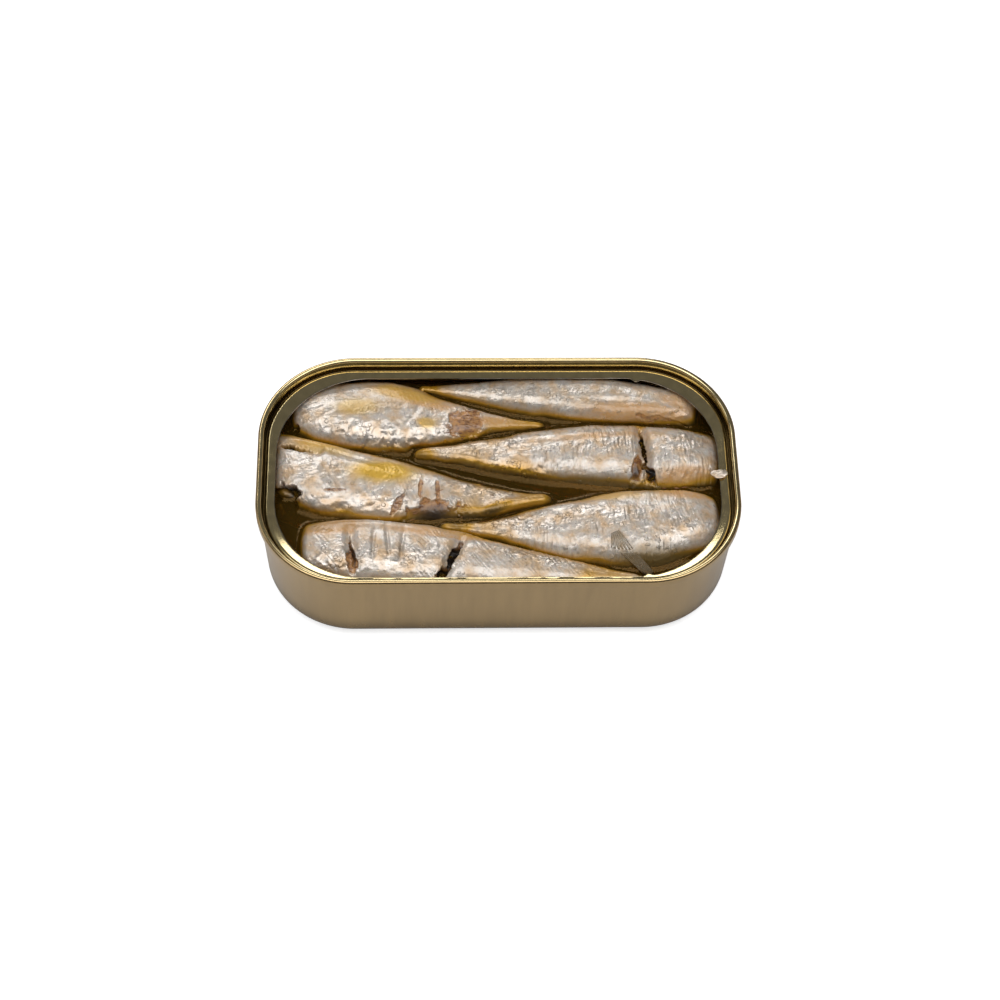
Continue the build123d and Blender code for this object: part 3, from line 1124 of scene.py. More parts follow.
        # the creases' depth, which darkens the skin as painted shade
        masks["rows"] = np.clip(-rows * patchy, 0, 1)
        flaky = np.clip(0.15 + 0.85 * masks["gleam"], 0, 1) * quiet
        masks["flaky"] = flaky * (grain.at(flat + 55, FLAKE_CELL) > 0.05)
        masks["torn"] = masks["bare"] * (1 - np.minimum(1, 2 * masks["deep"]))
        masks["wet"] = 1 - masks["deep"]
        # amber from the oil and painted shade, growing lower down the flanks
        low_soak_and_shade = smooth_step(*self.soak_and_shade_heights, flat[:, 2] + 0.5 * coarse)
        masks["oil_soak_and_shade"] = np.maximum(masks["oil_soak_and_shade"], low_soak_and_shade)
        self.masks = masks
        return move

    def scale_rows(self, grid: np.ndarray, coarse: np.ndarray, grain: Grain) -> np.ndarray:
        """Draw fine creases across the trunk, as scale pockets leave them, bent and broken by the relief.

        Args:
            grid: the smooth trunk.
            coarse: its coarse relief.
            grain: the fish's own relief.

        Returns:
            The creases' depth at each point, from about -1 to 1.
        """
        girth = grid[:, :, 1] - grid[:, :, 1].mean(axis=1, keepdims=True)
        bent = grid[:, :, 0] + self.cut_end * self.row_arc * girth ** 2 + self.row_lean * girth
        pace = np.linalg.norm(np.diff(grid, axis=1, append=grid[:, :1]), axis=2)
        round_it = np.cumsum(pace, axis=1)
        flat = np.stack([bent.reshape(-1) / self.row_pitch + 0.5 * coarse,
                         round_it.reshape(-1) / self.row_length, coarse * 0.4 + 40], axis=1)
        return self.row_height * grain.layers(flat, 0.5, 2, 0.6)

    def build(self, material: bpy.types.Material) -> bpy.types.Object:
        """Make the finished fish.

        Args:
            material: the skin.

        Returns:
            The piece, which stands for its CAD node.
        """
        grid = self.trunk()
        move = self.relief(grid).reshape(grid.shape[:2])
        number = np.arange(self.stations)
        ends = np.clip(np.minimum(number, number[::-1]) / self.end_rows, 0, 1)
        grid = grid + grid_normals(grid) * (move * ends[:, None])[:, :, None]
        points = np.concatenate([grid.reshape(-1, 3), grid[0].mean(0)[None], grid[-1].mean(0)[None]])
        faces = ring_faces(self.stations, self.around)
        piece = mesh_piece(self.node + "_flesh", points, faces, material)
        face_outwards(piece)
        for name, values in self.masks.items():
            set_mask(piece, name, np.concatenate([values, [0.0, 0.0]]))
        settle(piece, self.node)
        return piece


K = MarkKind
# SHADE, FURROW, SPLIT, HOLLOW, DARK, SOAK and TAN marks carry painted shade, at least in part
SARDINES = (
    Sardine("sardine_back_left", -1, 11, 0.25, 0.2, (
        Mark(K.FAT, -31, 18.5, 0, 11, 5.5, 0.65), Mark(K.SHADE, -31, 19, 0, 24, 9, 0.22),
        Mark(K.FAT, -20, 22.4, -8, 18, 5, 0.6), Mark(K.FAT, -15.5, 14.5, 0, 5, 3.5, 0.7),
        Mark(K.GLEAM, -27, 11.4, -14, 26, 7.5, 1.0), Mark(K.GLEAM, -17, 11.5, 12, 14, 7, 0.9),
        Mark(K.GLEAM, -39, 16.5, -30, 12, 6, 0.8), Mark(K.FURROW, -19.5, 15.5, 55, 9, 2.2, 0.8),
        Mark(K.FURROW, -28.5, 11, 70, 6, 1.6, 0.7), Mark(K.FURROW, -22.5, 10.3, 75, 6, 1.6, 0.7),
        Mark(K.FURROW, -33, 13.2, 60, 6, 1.6, 0.6), Mark(K.SWELL, -33, 16, -10, 14, 7, 0.5),
        Mark(K.BARE, -7.0, 15.2, 20, 7.5, 7.0, 0.9), Mark(K.SWELL, -28, 25.5, -3, 38, 5, 2.2),
        Mark(K.SWELL, -42, 22, 50, 10, 4, 1.0), Mark(K.TAN, 2.5, 15.4, -6, 16, 3.4, 1.0),
        Mark(K.TAN, -18, 21.4, -16, 20, 5.0, 0.9), Mark(K.SOAK, -22, 22.0, -12, 16, 3.0, 0.35),
        Mark(K.HOLLOW, -45.5, 14.2, 0, 3, 2, 0.5))),
    Sardine("sardine_back_right", 1, 12, 0.25, -0.3, (
        Mark(K.SHEEN, 10, 22.5, -3, 28, 6, 0.6), Mark(K.SHADE, 14, 21.5, -3, 46, 8, 0.2),
        Mark(K.TAN, 32, 17.4, -6, 27, 5.0, 1.0), Mark(K.TAN, 41, 19.6, -24, 12, 4.0, 0.8),
        Mark(K.BARE, 37, 16.0, -8, 12, 1.0, 0.7), Mark(K.SHEEN, 24, 20.4, -2, 24, 2, 0.6),
        Mark(K.GLEAM, 41, 17.0, -20, 7, 2, 0.9), Mark(K.SHADE, 26, 15.4, 0, 34, 2.4, 0.6),
        Mark(K.FURROW, 28, 20, -4, 26, 2.4, 0.8), Mark(K.SWELL, 20, 26.5, 0, 50, 4.5, 2.2),
        Mark(K.SWELL, 42, 22, -40, 10, 4, 0.8), Mark(K.SOAK, -6, 21.5, -12, 12, 4, 0.9),
        Mark(K.SWELL, 0, 19.3, -12, 28, 3, 1.5), Mark(K.SOAK, 2, 18.6, -12, 26, 2.2, 1.0))),
    Sardine("sardine_middle_left", -1, 13, 0.35, 0.5, (
        Mark(K.SPLIT, -44.4, 8.2, -12, 7.5, 1.7, 1.0), Mark(K.FURROW, -34, 6.2, -18, 20, 2.2, 0.7),
        Mark(K.FAT, -25, 1.8, 0, 17, 7.5, 1.0), Mark(K.FAT, -38, 8.6, -16, 16, 5, 0.6),
        Mark(K.TAN, -40, 10.2, -14, 14, 3.2, 0.9), Mark(K.TAN, -14, 2.6, -8, 20, 3, 0.5),
        Mark(K.HOLLOW, -47.6, -5.4, 0, 7.5, 8.4, 1.0), Mark(K.GLEAM, -38, -6.4, 0, 15, 5, 0.9),
        Mark(K.GLEAM, -26, -6.4, 0, 14, 6, 0.9), Mark(K.GLEAM, -3, -2.6, -14, 20, 6, 1.0),
        Mark(K.GLEAM, -40, 1.5, 0, 16, 8, 0.7), Mark(K.BARE, -14.2, -8.3, 3, 12.5, 5.4, 1.0),
        Mark(K.DARK, -13.8, -8.8, 3, 13, 5.4, 1.0), Mark(K.BARE, -22, -6.6, 60, 5, 1.6, 0.8),
        Mark(K.BARE, -17, -2.4, 88, 5.5, 0.9, 0.8), Mark(K.BARE, -13.2, -3.0, 92, 5.5, 0.9, 0.8),
        Mark(K.BARE, -35.6, -3.4, 0, 4.6, 0.7, 0.7), Mark(K.SOAK, -2, -7.4, 18, 18, 3.4, 1.2),
        Mark(K.SWELL, 0, -7.0, 16, 24, 3.2, 1.8), Mark(K.SHADE, -15.5, -9.6, 0, 10, 2.4, 1.0))),
    Sardine("sardine_middle_right", 1, 14, 1.1, 0.0, (
        Mark(K.SPLIT, 32.4, 8.4, 97, 11, 1.0, 1.2), Mark(K.SPLIT, 33.6, 1.6, 115, 6, 1.4, 1.0),
        Mark(K.BARE, 30.8, 2.0, 75, 6.5, 2.4, 1.0), Mark(K.BARE, 41.5, -1.6, 3, 13, 1.6, 0.85),
        Mark(K.DARK, 30.6, 1.6, 75, 5, 3.0, 0.9), Mark(K.TAN, 42, 0.4, 3, 15, 5.0, 1.0),
        Mark(K.TAN, 22, 10.8, 4, 30, 2.0, 0.6), Mark(K.GLEAM, 2, 8.5, 4, 24, 6, 1.0),
        Mark(K.GLEAM, 6, 3.4, -16, 20, 3.0, 1.0), Mark(K.SHEEN, 24, 9, 0, 20, 8, 0.6),
        Mark(K.SHEEN, 40, 8, 0, 14, 8, 0.8), Mark(K.SHADE, 19, -0.8, -4, 26, 5, 1.0),
        Mark(K.FURROW, 8, 8.6, 6, 22, 1.6, 0.5), Mark(K.SOAK, -17, 6.8, 0, 11, 8, 1.0),
        Mark(K.SWELL, 4, 1.6, -18, 34, 4.5, 2.0), Mark(K.SWELL, 30, -2.4, 2, 34, 4, 1.8),
        Mark(K.SHADE, 2, 1.6, -20, 30, 3.0, 1.0), Mark(K.SHADE, 30, -2.8, 2, 34, 3.4, 1.0))),
    Sardine("sardine_front_right", 1, 15, 0.9, 0.1, (
        Mark(K.GLEAM, 4, -11.5, -8, 26, 6, 1.0), Mark(K.SHADE, 36, -20.2, 0, 30, 6.5, 1.0),
        Mark(K.TAN, 42, -4.4, -3, 16, 3.6, 1.0), Mark(K.TAN, 16, -5.6, 5, 34, 2.6, 0.8),
        Mark(K.SHEEN, 20, -10.5, -6, 34, 8, 1.0), Mark(K.SHEEN, 38, -14, 14, 16, 6, 0.8),
        Mark(K.FAT, 22, -5, 0, 26, 2.6, 0.4), Mark(K.SWELL, 36, -20.6, 6, 26, 6, 2.2),
        Mark(K.SOAK, -9, -11.5, 0, 12, 7, 1.0), Mark(K.SWELL, 6, -7.4, 6, 30, 3, 1.3),
        Mark(K.SWELL, 36, -4.0, 0, 34, 4, 2.2))),
    Sardine("sardine_front_left", -1, 16, 0.55, 0.9, (
        Mark(K.TAN, -37, -12.6, -2, 18, 5.0, 1.0), Mark(K.SHADE, -37, -12.2, -2, 18, 4, 0.3),
        Mark(K.TAN, -8, -14.6, -5, 36, 3.0, 0.9), Mark(K.SWELL, -22, -12.2, -3, 50, 3.2, 1.5),
        Mark(K.TAN, 17, -19.0, -18, 22, 2.4, 0.8), Mark(K.SPLIT, -9.6, -19.6, 66, 8, 1.5, 1.0),
        Mark(K.SPLIT, -12.2, -24.2, 50, 6, 1.5, 1.0), Mark(K.SPLIT, -31.6, -19.0, 100, 8, 0.9, 0.7),
        Mark(K.BARE, -31.6, -21.4, 96, 6, 2.2, 0.9), Mark(K.GLEAM, -36, -20.5, 0, 13, 8, 1.0),
        Mark(K.FURROW, -27.2, -18, 86, 9, 1.2, 0.9), Mark(K.FURROW, -24, -17, 95, 9, 1.0, 0.8),
        Mark(K.FURROW, -21, -18.4, 84, 9, 1.2, 0.9), Mark(K.GLEAM, 8, -20, -8, 24, 4, 0.9),
        Mark(K.GLEAM, -20, -21, 0, 24, 8, 1.0), Mark(K.SOAK, 2, -15.6, -8, 34, 1.8, 0.8))),
)


# ------------------------------------------------------------------ oil
@dataclass
class OilPool:
    """The oil up to its level, with a rim that climbs where it wets the fish."""

    pitch: float = 0.3
    climb: float = 0.7
    spread: float = 0.5
    into_wall: float = 0.08
    base_bend: float = 3.2
    foot_turns: tuple[float, ...] = (0.3, 0.6, 0.85, 1.0)

    def build(self, tin: TinMetal, fish: list[bpy.types.Object],
              material: bpy.types.Material) -> bpy.types.Object:
        """Make the pool as one closed body.

        Args:
            tin: the metal that holds it.
            fish: the finished fish, which the surface climbs.
            material: the oil.

        Returns:
            The piece, which stands for the CAD oil.
        """
        low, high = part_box("oil")
        level, floor = high.z / MM, low.z / MM
        inset = tin.wall_inset(level) - self.into_wall
        half_x, half_y = tin.rim.half_length - inset, tin.rim.half_width - inset
        corner = tin.rim.corner - inset
        xs = np.linspace(-half_x, half_x, int(2 * half_x / self.pitch) + 1)
        ys = np.linspace(-half_y, half_y, int(2 * half_y / self.pitch) + 1)
        rise = self.wetting(fish, level, xs, ys)
        gx, gy = np.meshgrid(xs, ys, indexing="ij")
        past = np.stack([np.abs(gx) - (half_x - corner), np.abs(gy) - (half_y - corner)], axis=-1)
        reach = np.linalg.norm(np.maximum(past, 0), axis=-1)
        drawn_in = past * (corner / np.maximum(reach, 1e-9))[..., None]
        pull = np.where((reach > corner)[..., None], drawn_in, past)
        in_corner = (past > 0).all(axis=-1)
        gx = np.where(in_corner, np.sign(gx) * (half_x - corner + pull[..., 0]), gx)
        gy = np.where(in_corner, np.sign(gy) * (half_y - corner + pull[..., 1]), gy)
        keep = reach < corner + 2 * self.pitch
        number = np.full(gx.shape, -1)
        number[keep] = np.arange(keep.sum())
        points = np.stack([gx[keep], gy[keep], (level + self.climb * rise)[keep]], axis=1)
        corners = [number[:-1, :-1], number[1:, :-1], number[1:, 1:], number[:-1, 1:]]
        quads = np.stack(corners, axis=-1).reshape(-1, 4)
        piece = mesh_piece("oil_pool", points, quads[(quads >= 0).all(axis=1)].tolist(), material)
        self.close(piece, tin, level, floor)
        settle(piece, "oil")
        return piece

    def wetting(self, fish: list[bpy.types.Object], level: float, xs: np.ndarray,
                ys: np.ndarray) -> np.ndarray:
        """Mark where fish stand out of the oil, softened so that the surface climbs towards them.

        Args:
            fish: the finished fish.
            level: the oil's level, in millimetres.
            xs: places of the surface's points along the tin.
            ys: their places across it.

        Returns:
            A share from 0 to 1 for each point.
        """
        wet = np.zeros((len(xs), len(ys)))
        for piece in fish:
            points = corner_places(piece.data) / MM
            points = points[points[:, 2] > level]
            i = np.rint((points[:, 0] - xs[0]) / (xs[1] - xs[0])).astype(int)
            j = np.rint((points[:, 1] - ys[0]) / (ys[1] - ys[0])).astype(int)
            wet[np.clip(i, 0, len(xs) - 1), np.clip(j, 0, len(ys) - 1)] = 1
        return blur(blur(wet, self.spread / self.pitch, 0), self.spread / self.pitch, 1)

    def close(self, piece: bpy.types.Object, tin: TinMetal, level: float, floor: float) -> None:
        """Close the surface with sides along the wall, a rounded foot and a bottom.

        Args:
            piece: the surface, whose mesh is changed.
            tin: the metal that holds the oil.
            level: the oil's level, in millimetres.
            floor: the height of its bottom.
        """
        shape = bmesh.new()
        shape.from_mesh(piece.data)
        bmesh.ops.remove_doubles(shape, verts=shape.verts, dist=0.02 * MM)
        core_x = (tin.rim.half_length - tin.rim.corner) * MM
        core_y = (tin.rim.half_width - tin.rim.corner) * MM
        start = tin.wall_inset(level)
        steps = [(tin.wall_inset(floor + self.base_bend) - start, floor + self.base_bend)]
        foot = tin.wall_inset(floor) - start
        for share in self.foot_turns:
            turn = share * math.pi / 2
            steps.append((foot + self.base_bend * (1 - math.cos(turn)),
                          floor + self.base_bend * (1 - math.sin(turn))))
        rim = [edge for edge in shape.edges if edge.is_boundary]
        moved = 0.0
        for inward, height in steps:
            made = bmesh.ops.extrude_edge_only(shape, edges=rim)["geom"]
            for corner in (part for part in made if isinstance(part, bmesh.types.BMVert)):
                way = Vector((max(abs(corner.co.x) - core_x, 0) * math.copysign(1, corner.co.x),
                              max(abs(corner.co.y) - core_y, 0) * math.copysign(1, corner.co.y)))
                way.normalize()
                corner.co.x -= way.x * (inward - moved) * MM
                corner.co.y -= way.y * (inward - moved) * MM
                corner.co.z = height * MM
            moved = inward
            rim = [part for part in made if isinstance(part, bmesh.types.BMEdge) and part.is_boundary]
        bmesh.ops.contextual_create(shape, geom=rim)
        bmesh.ops.recalc_face_normals(shape, faces=shape.faces)
        shape.to_mesh(piece.data)
        shape.free()


# ------------------------------------------------------------------ what repeats on the fish
class Tree:
    """A Geometry Nodes tree in the making: a base mesh comes in, a plain mesh with one finish goes out."""

    def __init__(self, name: str, sizes: Mapping[str, float], whole: tuple[str, ...] = ("Seed",)) -> None:
        """Start the tree.

        Args:
            name: the tree's name.
            sizes: its named inputs.
            whole: those of them that are whole numbers.
        """
        self.group = bpy.data.node_groups.new(name, "GeometryNodeTree")
        self.sizes = dict(sizes)
        face = self.group.interface
        face.new_socket("Geometry", in_out="INPUT", socket_type="NodeSocketGeometry")
        for label in sizes:
            kind = "NodeSocketInt" if label in whole else "NodeSocketFloat"
            face.new_socket(label, in_out="INPUT", socket_type=kind)
        face.new_socket("Finish", in_out="INPUT", socket_type="NodeSocketMaterial")
        face.new_socket("Geometry", in_out="OUTPUT", socket_type="NodeSocketGeometry")
        self.start = add(self.group, "NodeGroupInput").outputs

    def add(self, kind: str, inputs: Mapping[int | str, Any] | None = None,
            **settings: Any) -> bpy.types.Node:
        """Add a node to this tree."""
        return add(self.group, kind, inputs, **settings)

    def random(self, low: Any, high: Any, seed: int, kind: str = "FLOAT") -> Socket:
        """Draw a number or a vector for each point.

        Args:
            low: the smallest value.
            high: the largest one.
            seed: added to the tree's own seed.
            kind: FLOAT or FLOAT_VECTOR.

        Returns:
            The drawn values.
        """
        first, second, out = (0, 1, 0) if kind == "FLOAT_VECTOR" else (2, 3, 1)
        number = work_out(self.group, "ADD", self.start["Seed"], float(seed))
        node = self.add("FunctionNodeRandomValue", {first: low, second: high, "Seed": number}, data_type=kind)
        return node.outputs[out]

    def read(self, name: str) -> Socket:
        """Read a mask of the base mesh."""
        return self.add("GeometryNodeInputNamedAttribute", {"Name": name}, data_type="FLOAT").outputs[0]

    def finish(self, geometry: Socket) -> None:
        """End the tree: real mesh, smooth, one finish.

        Args:
            geometry: what the tree has made.
        """
        real = self.add("GeometryNodeRealizeInstances", {0: geometry}).outputs[0]
        smooth = self.add("GeometryNodeSetShadeSmooth", {0: real}).outputs[0]
        dressed = self.add("GeometryNodeSetMaterial", {0: smooth, "Material": self.start["Finish"]})
        self.add("NodeGroupOutput", {0: dressed.outputs[0]})

    def run(self, name: str, base: bpy.types.Mesh, material: bpy.types.Material,
            slot: str) -> bpy.types.Object:
        """Run the tree on a base mesh and keep the result.

        Args:
            name: the piece's name.
            base: the mesh that comes in; it is used up.
            material: the finish.
            slot: not used.

        Returns:
            The piece.
        """
        grower = bpy.data.objects.new(name + "_base", base)
        bpy.context.scene.collection.objects.link(grower)
        modifier = grower.modifiers.new("grow", "NODES")
        modifier.node_group = self.group
        values = {**self.sizes, "Finish": material}
        for item in self.group.interface.items_tree:
            if item.in_out == "INPUT" and item.name in values:
                modifier[item.identifier] = values[item.name]
        grown = grower.evaluated_get(bpy.context.evaluated_depsgraph_get())
        result = bpy.data.meshes.new_from_object(grown)
        grower.modifiers.remove(modifier)
        bpy.data.objects.remove(grower)
        bpy.data.meshes.remove(base)
        result.name = name
        piece = bpy.data.objects.new(name, result)
        bpy.context.scene.collection.objects.link(piece)
        settle(piece)
        return piece


def upper_skin(fish: list[bpy.types.Object], level: float) -> bpy.types.Mesh:
    """Copy the faces of the fish that look up out of the oil, with their masks.

    Args:
        fish: the finished fish.
        level: the lowest height that is kept, in millimetres.

    Returns:
        A new mesh.
    """
    joined = bpy.data.meshes.new("upper_skin")
    shape = bmesh.new()
    for piece in fish:
        shape.from_mesh(piece.data)
    low = [face for face in shape.faces if face.normal.z < 0.15 or face.calc_center_median().z < level * MM]
    bmesh.ops.delete(shape, geom=low, context="FACES")
    shape.to_mesh(joined)
    shape.free()
    return joined


@dataclass(frozen=True)
class Scattered:
    """Small things that lie on the skin: how many to a square metre, how large and how tilted."""

    name: str
    mask: str
    per_square_metre: float
    size_mm: float
    flatness: float
    spread: float
    tilt: float
    sink: float
    seed: int
    sides: int = 8
    rings: int = 5
    stretch: float = 1.0
    above_oil: float = 0.6

    def tree(self) -> Tree:
        """Make the tree that scatters them.

        Returns:
            The tree, with its sizes as named inputs.
        """
        tree = Tree(self.name, {"Number": self.per_square_metre, "Size": self.size_mm * MM,
                                "Tilt": self.tilt, "Sink": self.sink * MM, "Seed": self.seed})
        density = work_out(tree.group, "MULTIPLY", tree.read(self.mask), tree.start["Number"])
        points = tree.add("GeometryNodeDistributePointsOnFaces",
                          {"Mesh": tree.start["Geometry"], "Density": density, "Seed": tree.start["Seed"]})
        down = tree.add("ShaderNodeVectorMath", {0: points.outputs["Normal"], "Scale": tree.start["Sink"]},
                        operation="SCALE").outputs[0]
        placed = tree.add("GeometryNodeSetPosition", {0: points.outputs["Points"], "Offset": down}).outputs[0]
        along = tree.add("FunctionNodeAlignRotationToVector",
                         {"Rotation": points.outputs["Rotation"], "Vector": (1.0, 0.0, 0.0)}, axis="X",
                         pivot_axis="Z").outputs[0]
        low = work_out(tree.group, "MULTIPLY", tree.start["Tilt"], -1.0)
        lean = tree.add("ShaderNodeCombineXYZ", {0: tree.random(low, tree.start["Tilt"], 1),
                                                 1: tree.random(low, tree.start["Tilt"], 2),
                                                 2: tree.random(-self.spread, self.spread, 3)}).outputs[0]
        turn = tree.add("FunctionNodeEulerToRotation", {0: lean}).outputs[0]
        turned = tree.add("FunctionNodeRotateRotation", {0: along, 1: turn}, rotation_space="LOCAL")
        ball = tree.add("GeometryNodeMeshUVSphere",
                        {"Segments": self.sides, "Rings": self.rings, "Radius": tree.start["Size"]})
        flat = tree.add("GeometryNodeTransform",
                        {0: ball.outputs[0], "Scale": (self.stretch, 1.0, self.flatness)})
        size = tree.random((0.5, 0.6, 0.7), (1.4, 1.2, 1.2), 4, "FLOAT_VECTOR")
        many = tree.add("GeometryNodeInstanceOnPoints",
                        {"Points": placed, "Instance": flat.outputs[0], "Rotation": turned.outputs[0],
                         "Scale": size}).outputs[0]
        tone = tree.add("GeometryNodeStoreNamedAttribute",
                        {0: many, "Name": "tone", "Value": tree.random(0.0, 1.0, 5)}, data_type="FLOAT",
                        domain="INSTANCE").outputs[0]
        tree.finish(tone)
        return tree


@dataclass(frozen=True)
class Fin:
    """A fin that lies folded on the skin: rays in a thin web, from its root line to its tip line."""

    name: str
    root: tuple[tuple[float, float], tuple[float, float]]
    tip: tuple[tuple[float, float], tuple[float, float]]
    rays: int = 8
    ray_mm: float = 0.09
    web_mm: float = 0.12
    arch_mm: float = 0.35
    lift_mm: float = 0.12
    tone: float = 0.0

    def blank(self) -> bpy.types.Mesh:
        """Give the tree an empty mesh to start from."""
        return bpy.data.meshes.new(self.name + "_blank")

    def tree(self, skin: BVHTree, level: float) -> Tree:
        """Make the tree: a grid laid between the two lines, arched, raised along each ray and thickened.

        Args:
            skin: the fish that the fin lies on.
            level: the oil's level, which the fin stays above, in millimetres.

        Returns:
            The tree, with its sizes as named inputs.
        """
        tree = Tree(self.name, {"Rays": self.rays, "Ray": self.ray_mm * MM, "Web": self.web_mm * MM,
                                "Arch": self.arch_mm * MM}, ("Rays",))

        def sum_up(operation: str, *values: Any) -> Socket:
            """Work out a number in this tree."""
            return work_out(tree.group, operation, *values)

        def between(share: Socket, first: Any, second: Any) -> Socket:
            """Find a point between two others."""
            return tree.add("ShaderNodeMix", {0: share, 4: first, 5: second}, data_type="VECTOR").outputs[1]

        count = sum_up("MULTIPLY_ADD", tree.start["Rays"], 6.0, 1.0)
        grid = tree.add("GeometryNodeMeshGrid", {0: 1.0, 1: 1.0, 2: count, 3: 12}).outputs[0]
        place = tree.add("ShaderNodeSeparateXYZ", {0: tree.add("GeometryNodeInputPosition").outputs[0]})
        across = sum_up("ADD", place.outputs[0], 0.5)
        along = sum_up("ADD", place.outputs[1], 0.5)
        turns = sum_up("MULTIPLY", sum_up("MULTIPLY", across, tree.start["Rays"]), 2 * math.pi)
        ridge = sum_up("MULTIPLY", sum_up("COSINE", turns), tree.start["Ray"])
        nick = sum_up("MULTIPLY", sum_up("COSINE", turns), sum_up("MULTIPLY", along, 0.05))
        rounding = sum_up("MULTIPLY", sum_up("SINE", sum_up("MULTIPLY", across, math.pi)), 0.14)
        reach = sum_up("MULTIPLY", along, sum_up("ADD", sum_up("ADD", 0.88, rounding), nick))
        edges = []
        for x, y in (*self.root, *self.tip):
            hit = skin.ray_cast(Vector((x * MM, y * MM, 0.1)), Vector((0, 0, -1)))[0]
            ground = max(level, hit.z / MM if hit else 0.0)
            edges.append((x * MM, y * MM, (ground + self.lift_mm) * MM))
        point = between(reach, between(across, edges[0], edges[1]), between(across, edges[2], edges[3]))
        swell = sum_up("MULTIPLY", sum_up("SINE", sum_up("MULTIPLY", along, math.pi)), tree.start["Arch"])
        lift = tree.add("ShaderNodeCombineXYZ", {2: sum_up("ADD", ridge, swell)}).outputs[0]
        laid = tree.add("GeometryNodeSetPosition", {0: grid, 2: point, 3: lift}).outputs[0]
        thick = tree.add("GeometryNodeExtrudeMesh", {"Mesh": laid, "Offset": (0.0, 0.0, 1.0),
                                                     "Offset Scale": tree.start["Web"], "Individual": False})
        under = tree.add("GeometryNodeFlipFaces", {0: laid}).outputs[0]
        both = tree.add("GeometryNodeJoinGeometry").inputs[0]
        for part in (thick.outputs[0], under):
            tree.group.links.new(part, both)
        toned = tree.add("GeometryNodeMergeByDistance",
                         {0: both.node.outputs[0], "Distance": 0.001 * MM}).outputs[0]
        for mask, value in (("rows", sum_up("MULTIPLY_ADD", sum_up("COSINE", turns), -0.5, 0.5)),
                            ("shade", self.tone)):
            toned = tree.add("GeometryNodeStoreNamedAttribute", {0: toned, "Name": mask, "Value": value},
                             data_type="FLOAT", domain="POINT").outputs[0]
        tree.finish(toned)
        return tree


@dataclass(frozen=True)
class Shred:
    """A scrap of wet skin: a flattened, lumpy drop."""

    name: str
    place: tuple[float, float, float]
    size: tuple[float, float, float]
    turn: float
    seed: int
    lumps: float = 0.22
    rings: int = 22
    sides: int = 36

    def build(self, material: bpy.types.Material) -> bpy.types.Object:
        """Make the scrap.

        Args:
            material: its finish.

        Returns:
            The piece.
        """
        polar = np.linspace(0, math.pi, self.rings + 2)[1:-1]
        round_it = np.arange(self.sides) / self.sides * 2 * math.pi
        ball = np.stack([np.outer(np.sin(polar), np.cos(round_it)), np.outer(np.sin(polar), np.sin(round_it)),
                         np.outer(np.cos(polar), np.ones(self.sides))], axis=-1).reshape(-1, 3)
        ball = np.concatenate([ball, [(0, 0, 1), (0, 0, -1)]])
        ball *= 1 + self.lumps * Grain(self.seed).layers(ball, 0.8, 2)[:, None]
        ball *= self.size
        turn = math.radians(self.turn)
        x = ball[:, 0] * math.cos(turn) - ball[:, 1] * math.sin(turn)
        y = ball[:, 0] * math.sin(turn) + ball[:, 1] * math.cos(turn)
        points = np.stack([x, y, ball[:, 2]], axis=1) + self.place
        piece = mesh_piece(self.name, points, ring_faces(self.rings, self.sides), material)
        face_outwards(piece)
        set_mask(piece, "gleam", np.ones(len(points)))
        settle(piece)
        return piece


SHRED = Shred("skin_shred", (48.8, -0.6, 22.45), (1.95, 1.05, 0.4), 12, 31, 0.38)
FINS = (
    Fin("pelvic_fin", ((24.2, -15.2), (25.8, -14.4)), ((24.0, -18.6), (29.0, -19.0)), 6, tone=0.5),
    Fin("anal_fin", ((26.2, -19.6), (29.4, -19.4)), ((31.4, -23.4), (33.6, -23.2)), 7, arch_mm=0.15,
        tone=0.8),
)
FIN_GROUND = 8.0  # millimetres below the oil down to which fins find the fish
SCALES = Scattered("loose_scales", "flaky", 0.5e6, 0.5, 0.08, 3.1, 0.16, 0.02, 21)
FIBRES = Scattered("flesh_fibres", "torn", 1.0e6, 0.13, 0.5, 0.3, 0.05, 0.05, 22, 6, 5, 5.0)
BEADS = Scattered("oil_beads", "wet", 1.2e4, 0.18, 0.45, 3.1, 0.1, 0.02, 23, 10, 6)


# ------------------------------------------------------------------ studio
@dataclass(frozen=True)
class Softbox:
    """A square lamp that looks at the tin."""

    name: str
    azimuth: float
    elevation: float
    distance: float
    size: tuple[float, float]
    watts: float

    def place(self) -> None:
        """Hang the lamp."""
        lamp = bpy.data.lights.new(self.name, "AREA")
        lamp.shape = "RECTANGLE"
        lamp.size, lamp.size_y = self.size
        lamp.energy = self.watts
        azimuth, elevation = math.radians(self.azimuth), math.radians(self.elevation)
        away = Vector((math.sin(azimuth) * math.cos(elevation), math.cos(azimuth) * math.cos(elevation),
                       math.sin(elevation)))
        holder = bpy.data.objects.new(self.name, lamp)
        holder.location = away * self.distance
        holder.rotation_euler = away.to_track_quat("Z", "Y").to_euler()
        bpy.context.scene.collection.objects.link(holder)


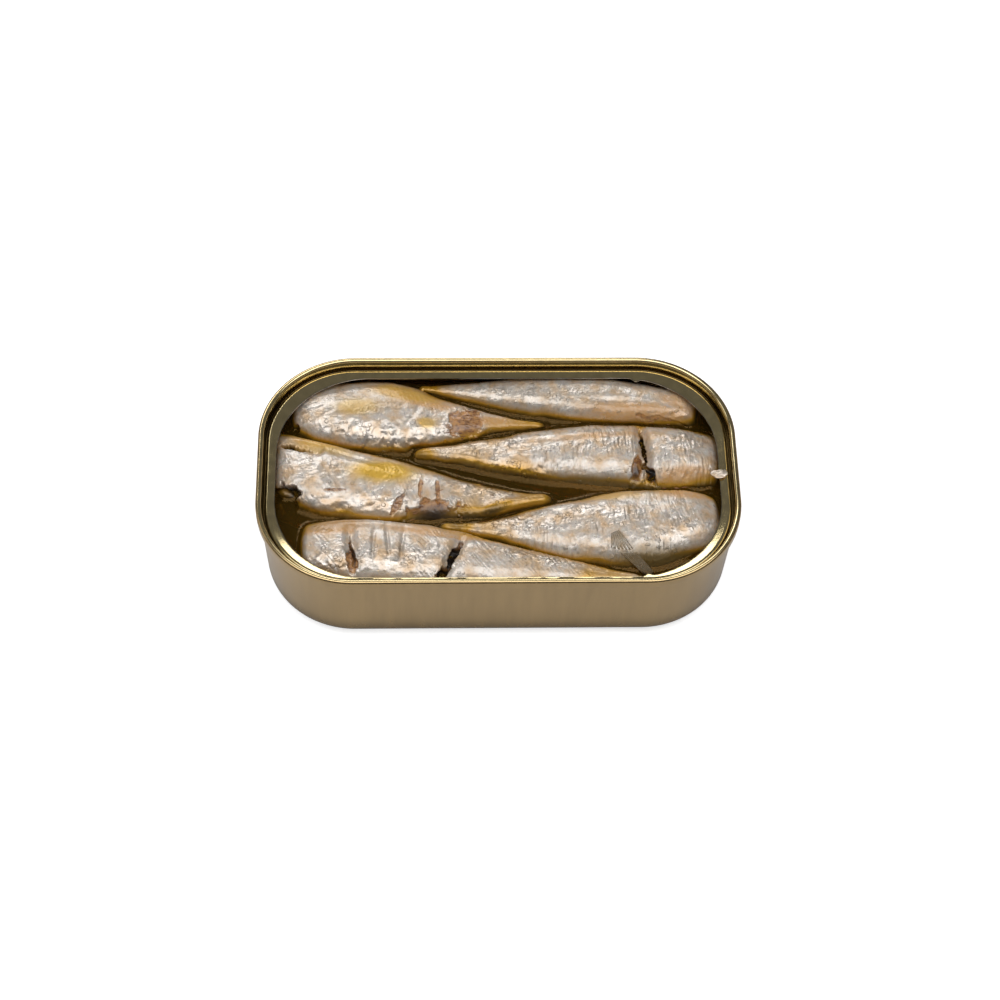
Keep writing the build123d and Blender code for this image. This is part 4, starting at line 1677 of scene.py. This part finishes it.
@dataclass(frozen=True)
class Studio:
    """Camera, lamps, floor and world."""

    elevation: float = 56.625
    turn: float = -3.2985
    roll: float = 2.528
    distance: float = 0.52014
    lens: float = 83.93
    aim: tuple[float, float, float] = (0.000745, 0.000738, 0.010)
    ambient: float = 0.13
    floor_mm: float = 900.0

    def camera(self) -> None:
        """Set the camera up."""
        data = bpy.data.cameras.new("camera")
        data.lens = self.lens
        data.sensor_width = 36.0
        data.clip_start = 0.01
        elevation, turn = math.radians(self.elevation), math.radians(self.turn)
        back = Vector((math.sin(turn) * math.cos(elevation), -math.cos(turn) * math.cos(elevation),
                       math.sin(elevation)))
        right = Vector((math.cos(turn), math.sin(turn), 0))
        up = back.cross(right)
        roll = math.radians(self.roll)
        right, up = right * math.cos(roll) + up * math.sin(roll), up * math.cos(roll) - right * math.sin(roll)
        place = Vector(self.aim) + back * self.distance
        holder = bpy.data.objects.new("camera", data)
        columns = (right, up, back, place)
        holder.matrix_world = Matrix([[way[axis] for way in columns] for axis in range(3)] + [[0, 0, 0, 1]])
        bpy.context.scene.collection.objects.link(holder)
        bpy.context.scene.camera = holder

    def world(self) -> None:
        """Make the surroundings: white to the camera, soft grey as light."""
        world = bpy.data.worlds.new("studio")
        world.use_nodes = True
        bpy.context.scene.world = world
        tree = world.node_tree
        tree.nodes.clear()
        path = add(tree, "ShaderNodeLightPath").outputs
        seen = work_out(tree, "MAXIMUM", path["Is Camera Ray"], path["Is Transmission Ray"])
        level = ramp(tree, seen, 0.0, 1.0, self.ambient, 1.0)
        sky = add(tree, "ShaderNodeBackground", {"Color": (1, 1, 1, 1), "Strength": level})
        add(tree, "ShaderNodeOutputWorld", {"Surface": sky.outputs[0]})

    def floor(self) -> None:
        """Lay the paper floor."""
        half = self.floor_mm / 2
        points = np.array([(-half, -half, 0), (half, -half, 0), (half, half, 0), (-half, half, 0)])
        floor = mesh_piece("paper_floor", points, [(0, 1, 2, 3)], StudioPaper().make())

    def build(self) -> None:
        """Set the whole studio up."""
        self.camera()
        self.world()
        self.floor()
        for lamp in (
            Softbox("back_softbox", -14, 41, 1.0, (0.66, 0.36), 2.3),
            Softbox("overhead_softbox", 180, 82, 0.9, (1.4, 0.59), 6.2),
            Softbox("left_softbox", -75, 30, 0.9, (0.3, 0.3), 0.4),
        ):
            lamp.place()
        scene = bpy.context.scene
        scene.view_settings.view_transform = "Standard"


def main() -> None:
    """Build and dress everything, in order."""
    logging.basicConfig(level=logging.INFO, format="%(name)s: %(message)s")
    Studio().build()
    metal = Tinplate().make()
    tin = TinMetal()
    tin.build_can(metal)
    tin.build_ring(metal)
    skin = SardineSkin().make()
    fish = [sardine.build(skin) for sardine in SARDINES]
    OilPool().build(tin, fish, PackingOil().make())
    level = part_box("oil")[1].z / MM
    drop = PackingOil("vegetable_oil_drop", "fff6dc", 1.0, density=8.0).make()
    for small, material, slot in ((SCALES, skin, "fish"), (FIBRES, CookedFlesh().make(), "fish"),
                                  (BEADS, drop, "oil")):
        small.tree().run(small.name, upper_skin(fish, level + small.above_oil), material, slot)
    SHRED.build(skin)
    surface = upper_skin(fish, level - FIN_GROUND)
    ground = BVHTree.FromPolygons([corner.co.copy() for corner in surface.vertices],
                                  [tuple(face.vertices) for face in surface.polygons])
    for fin in FINS:
        fin.tree(ground, level).run(fin.name, fin.blank(), skin, "fish")


if __name__ == "__main__":
    main()
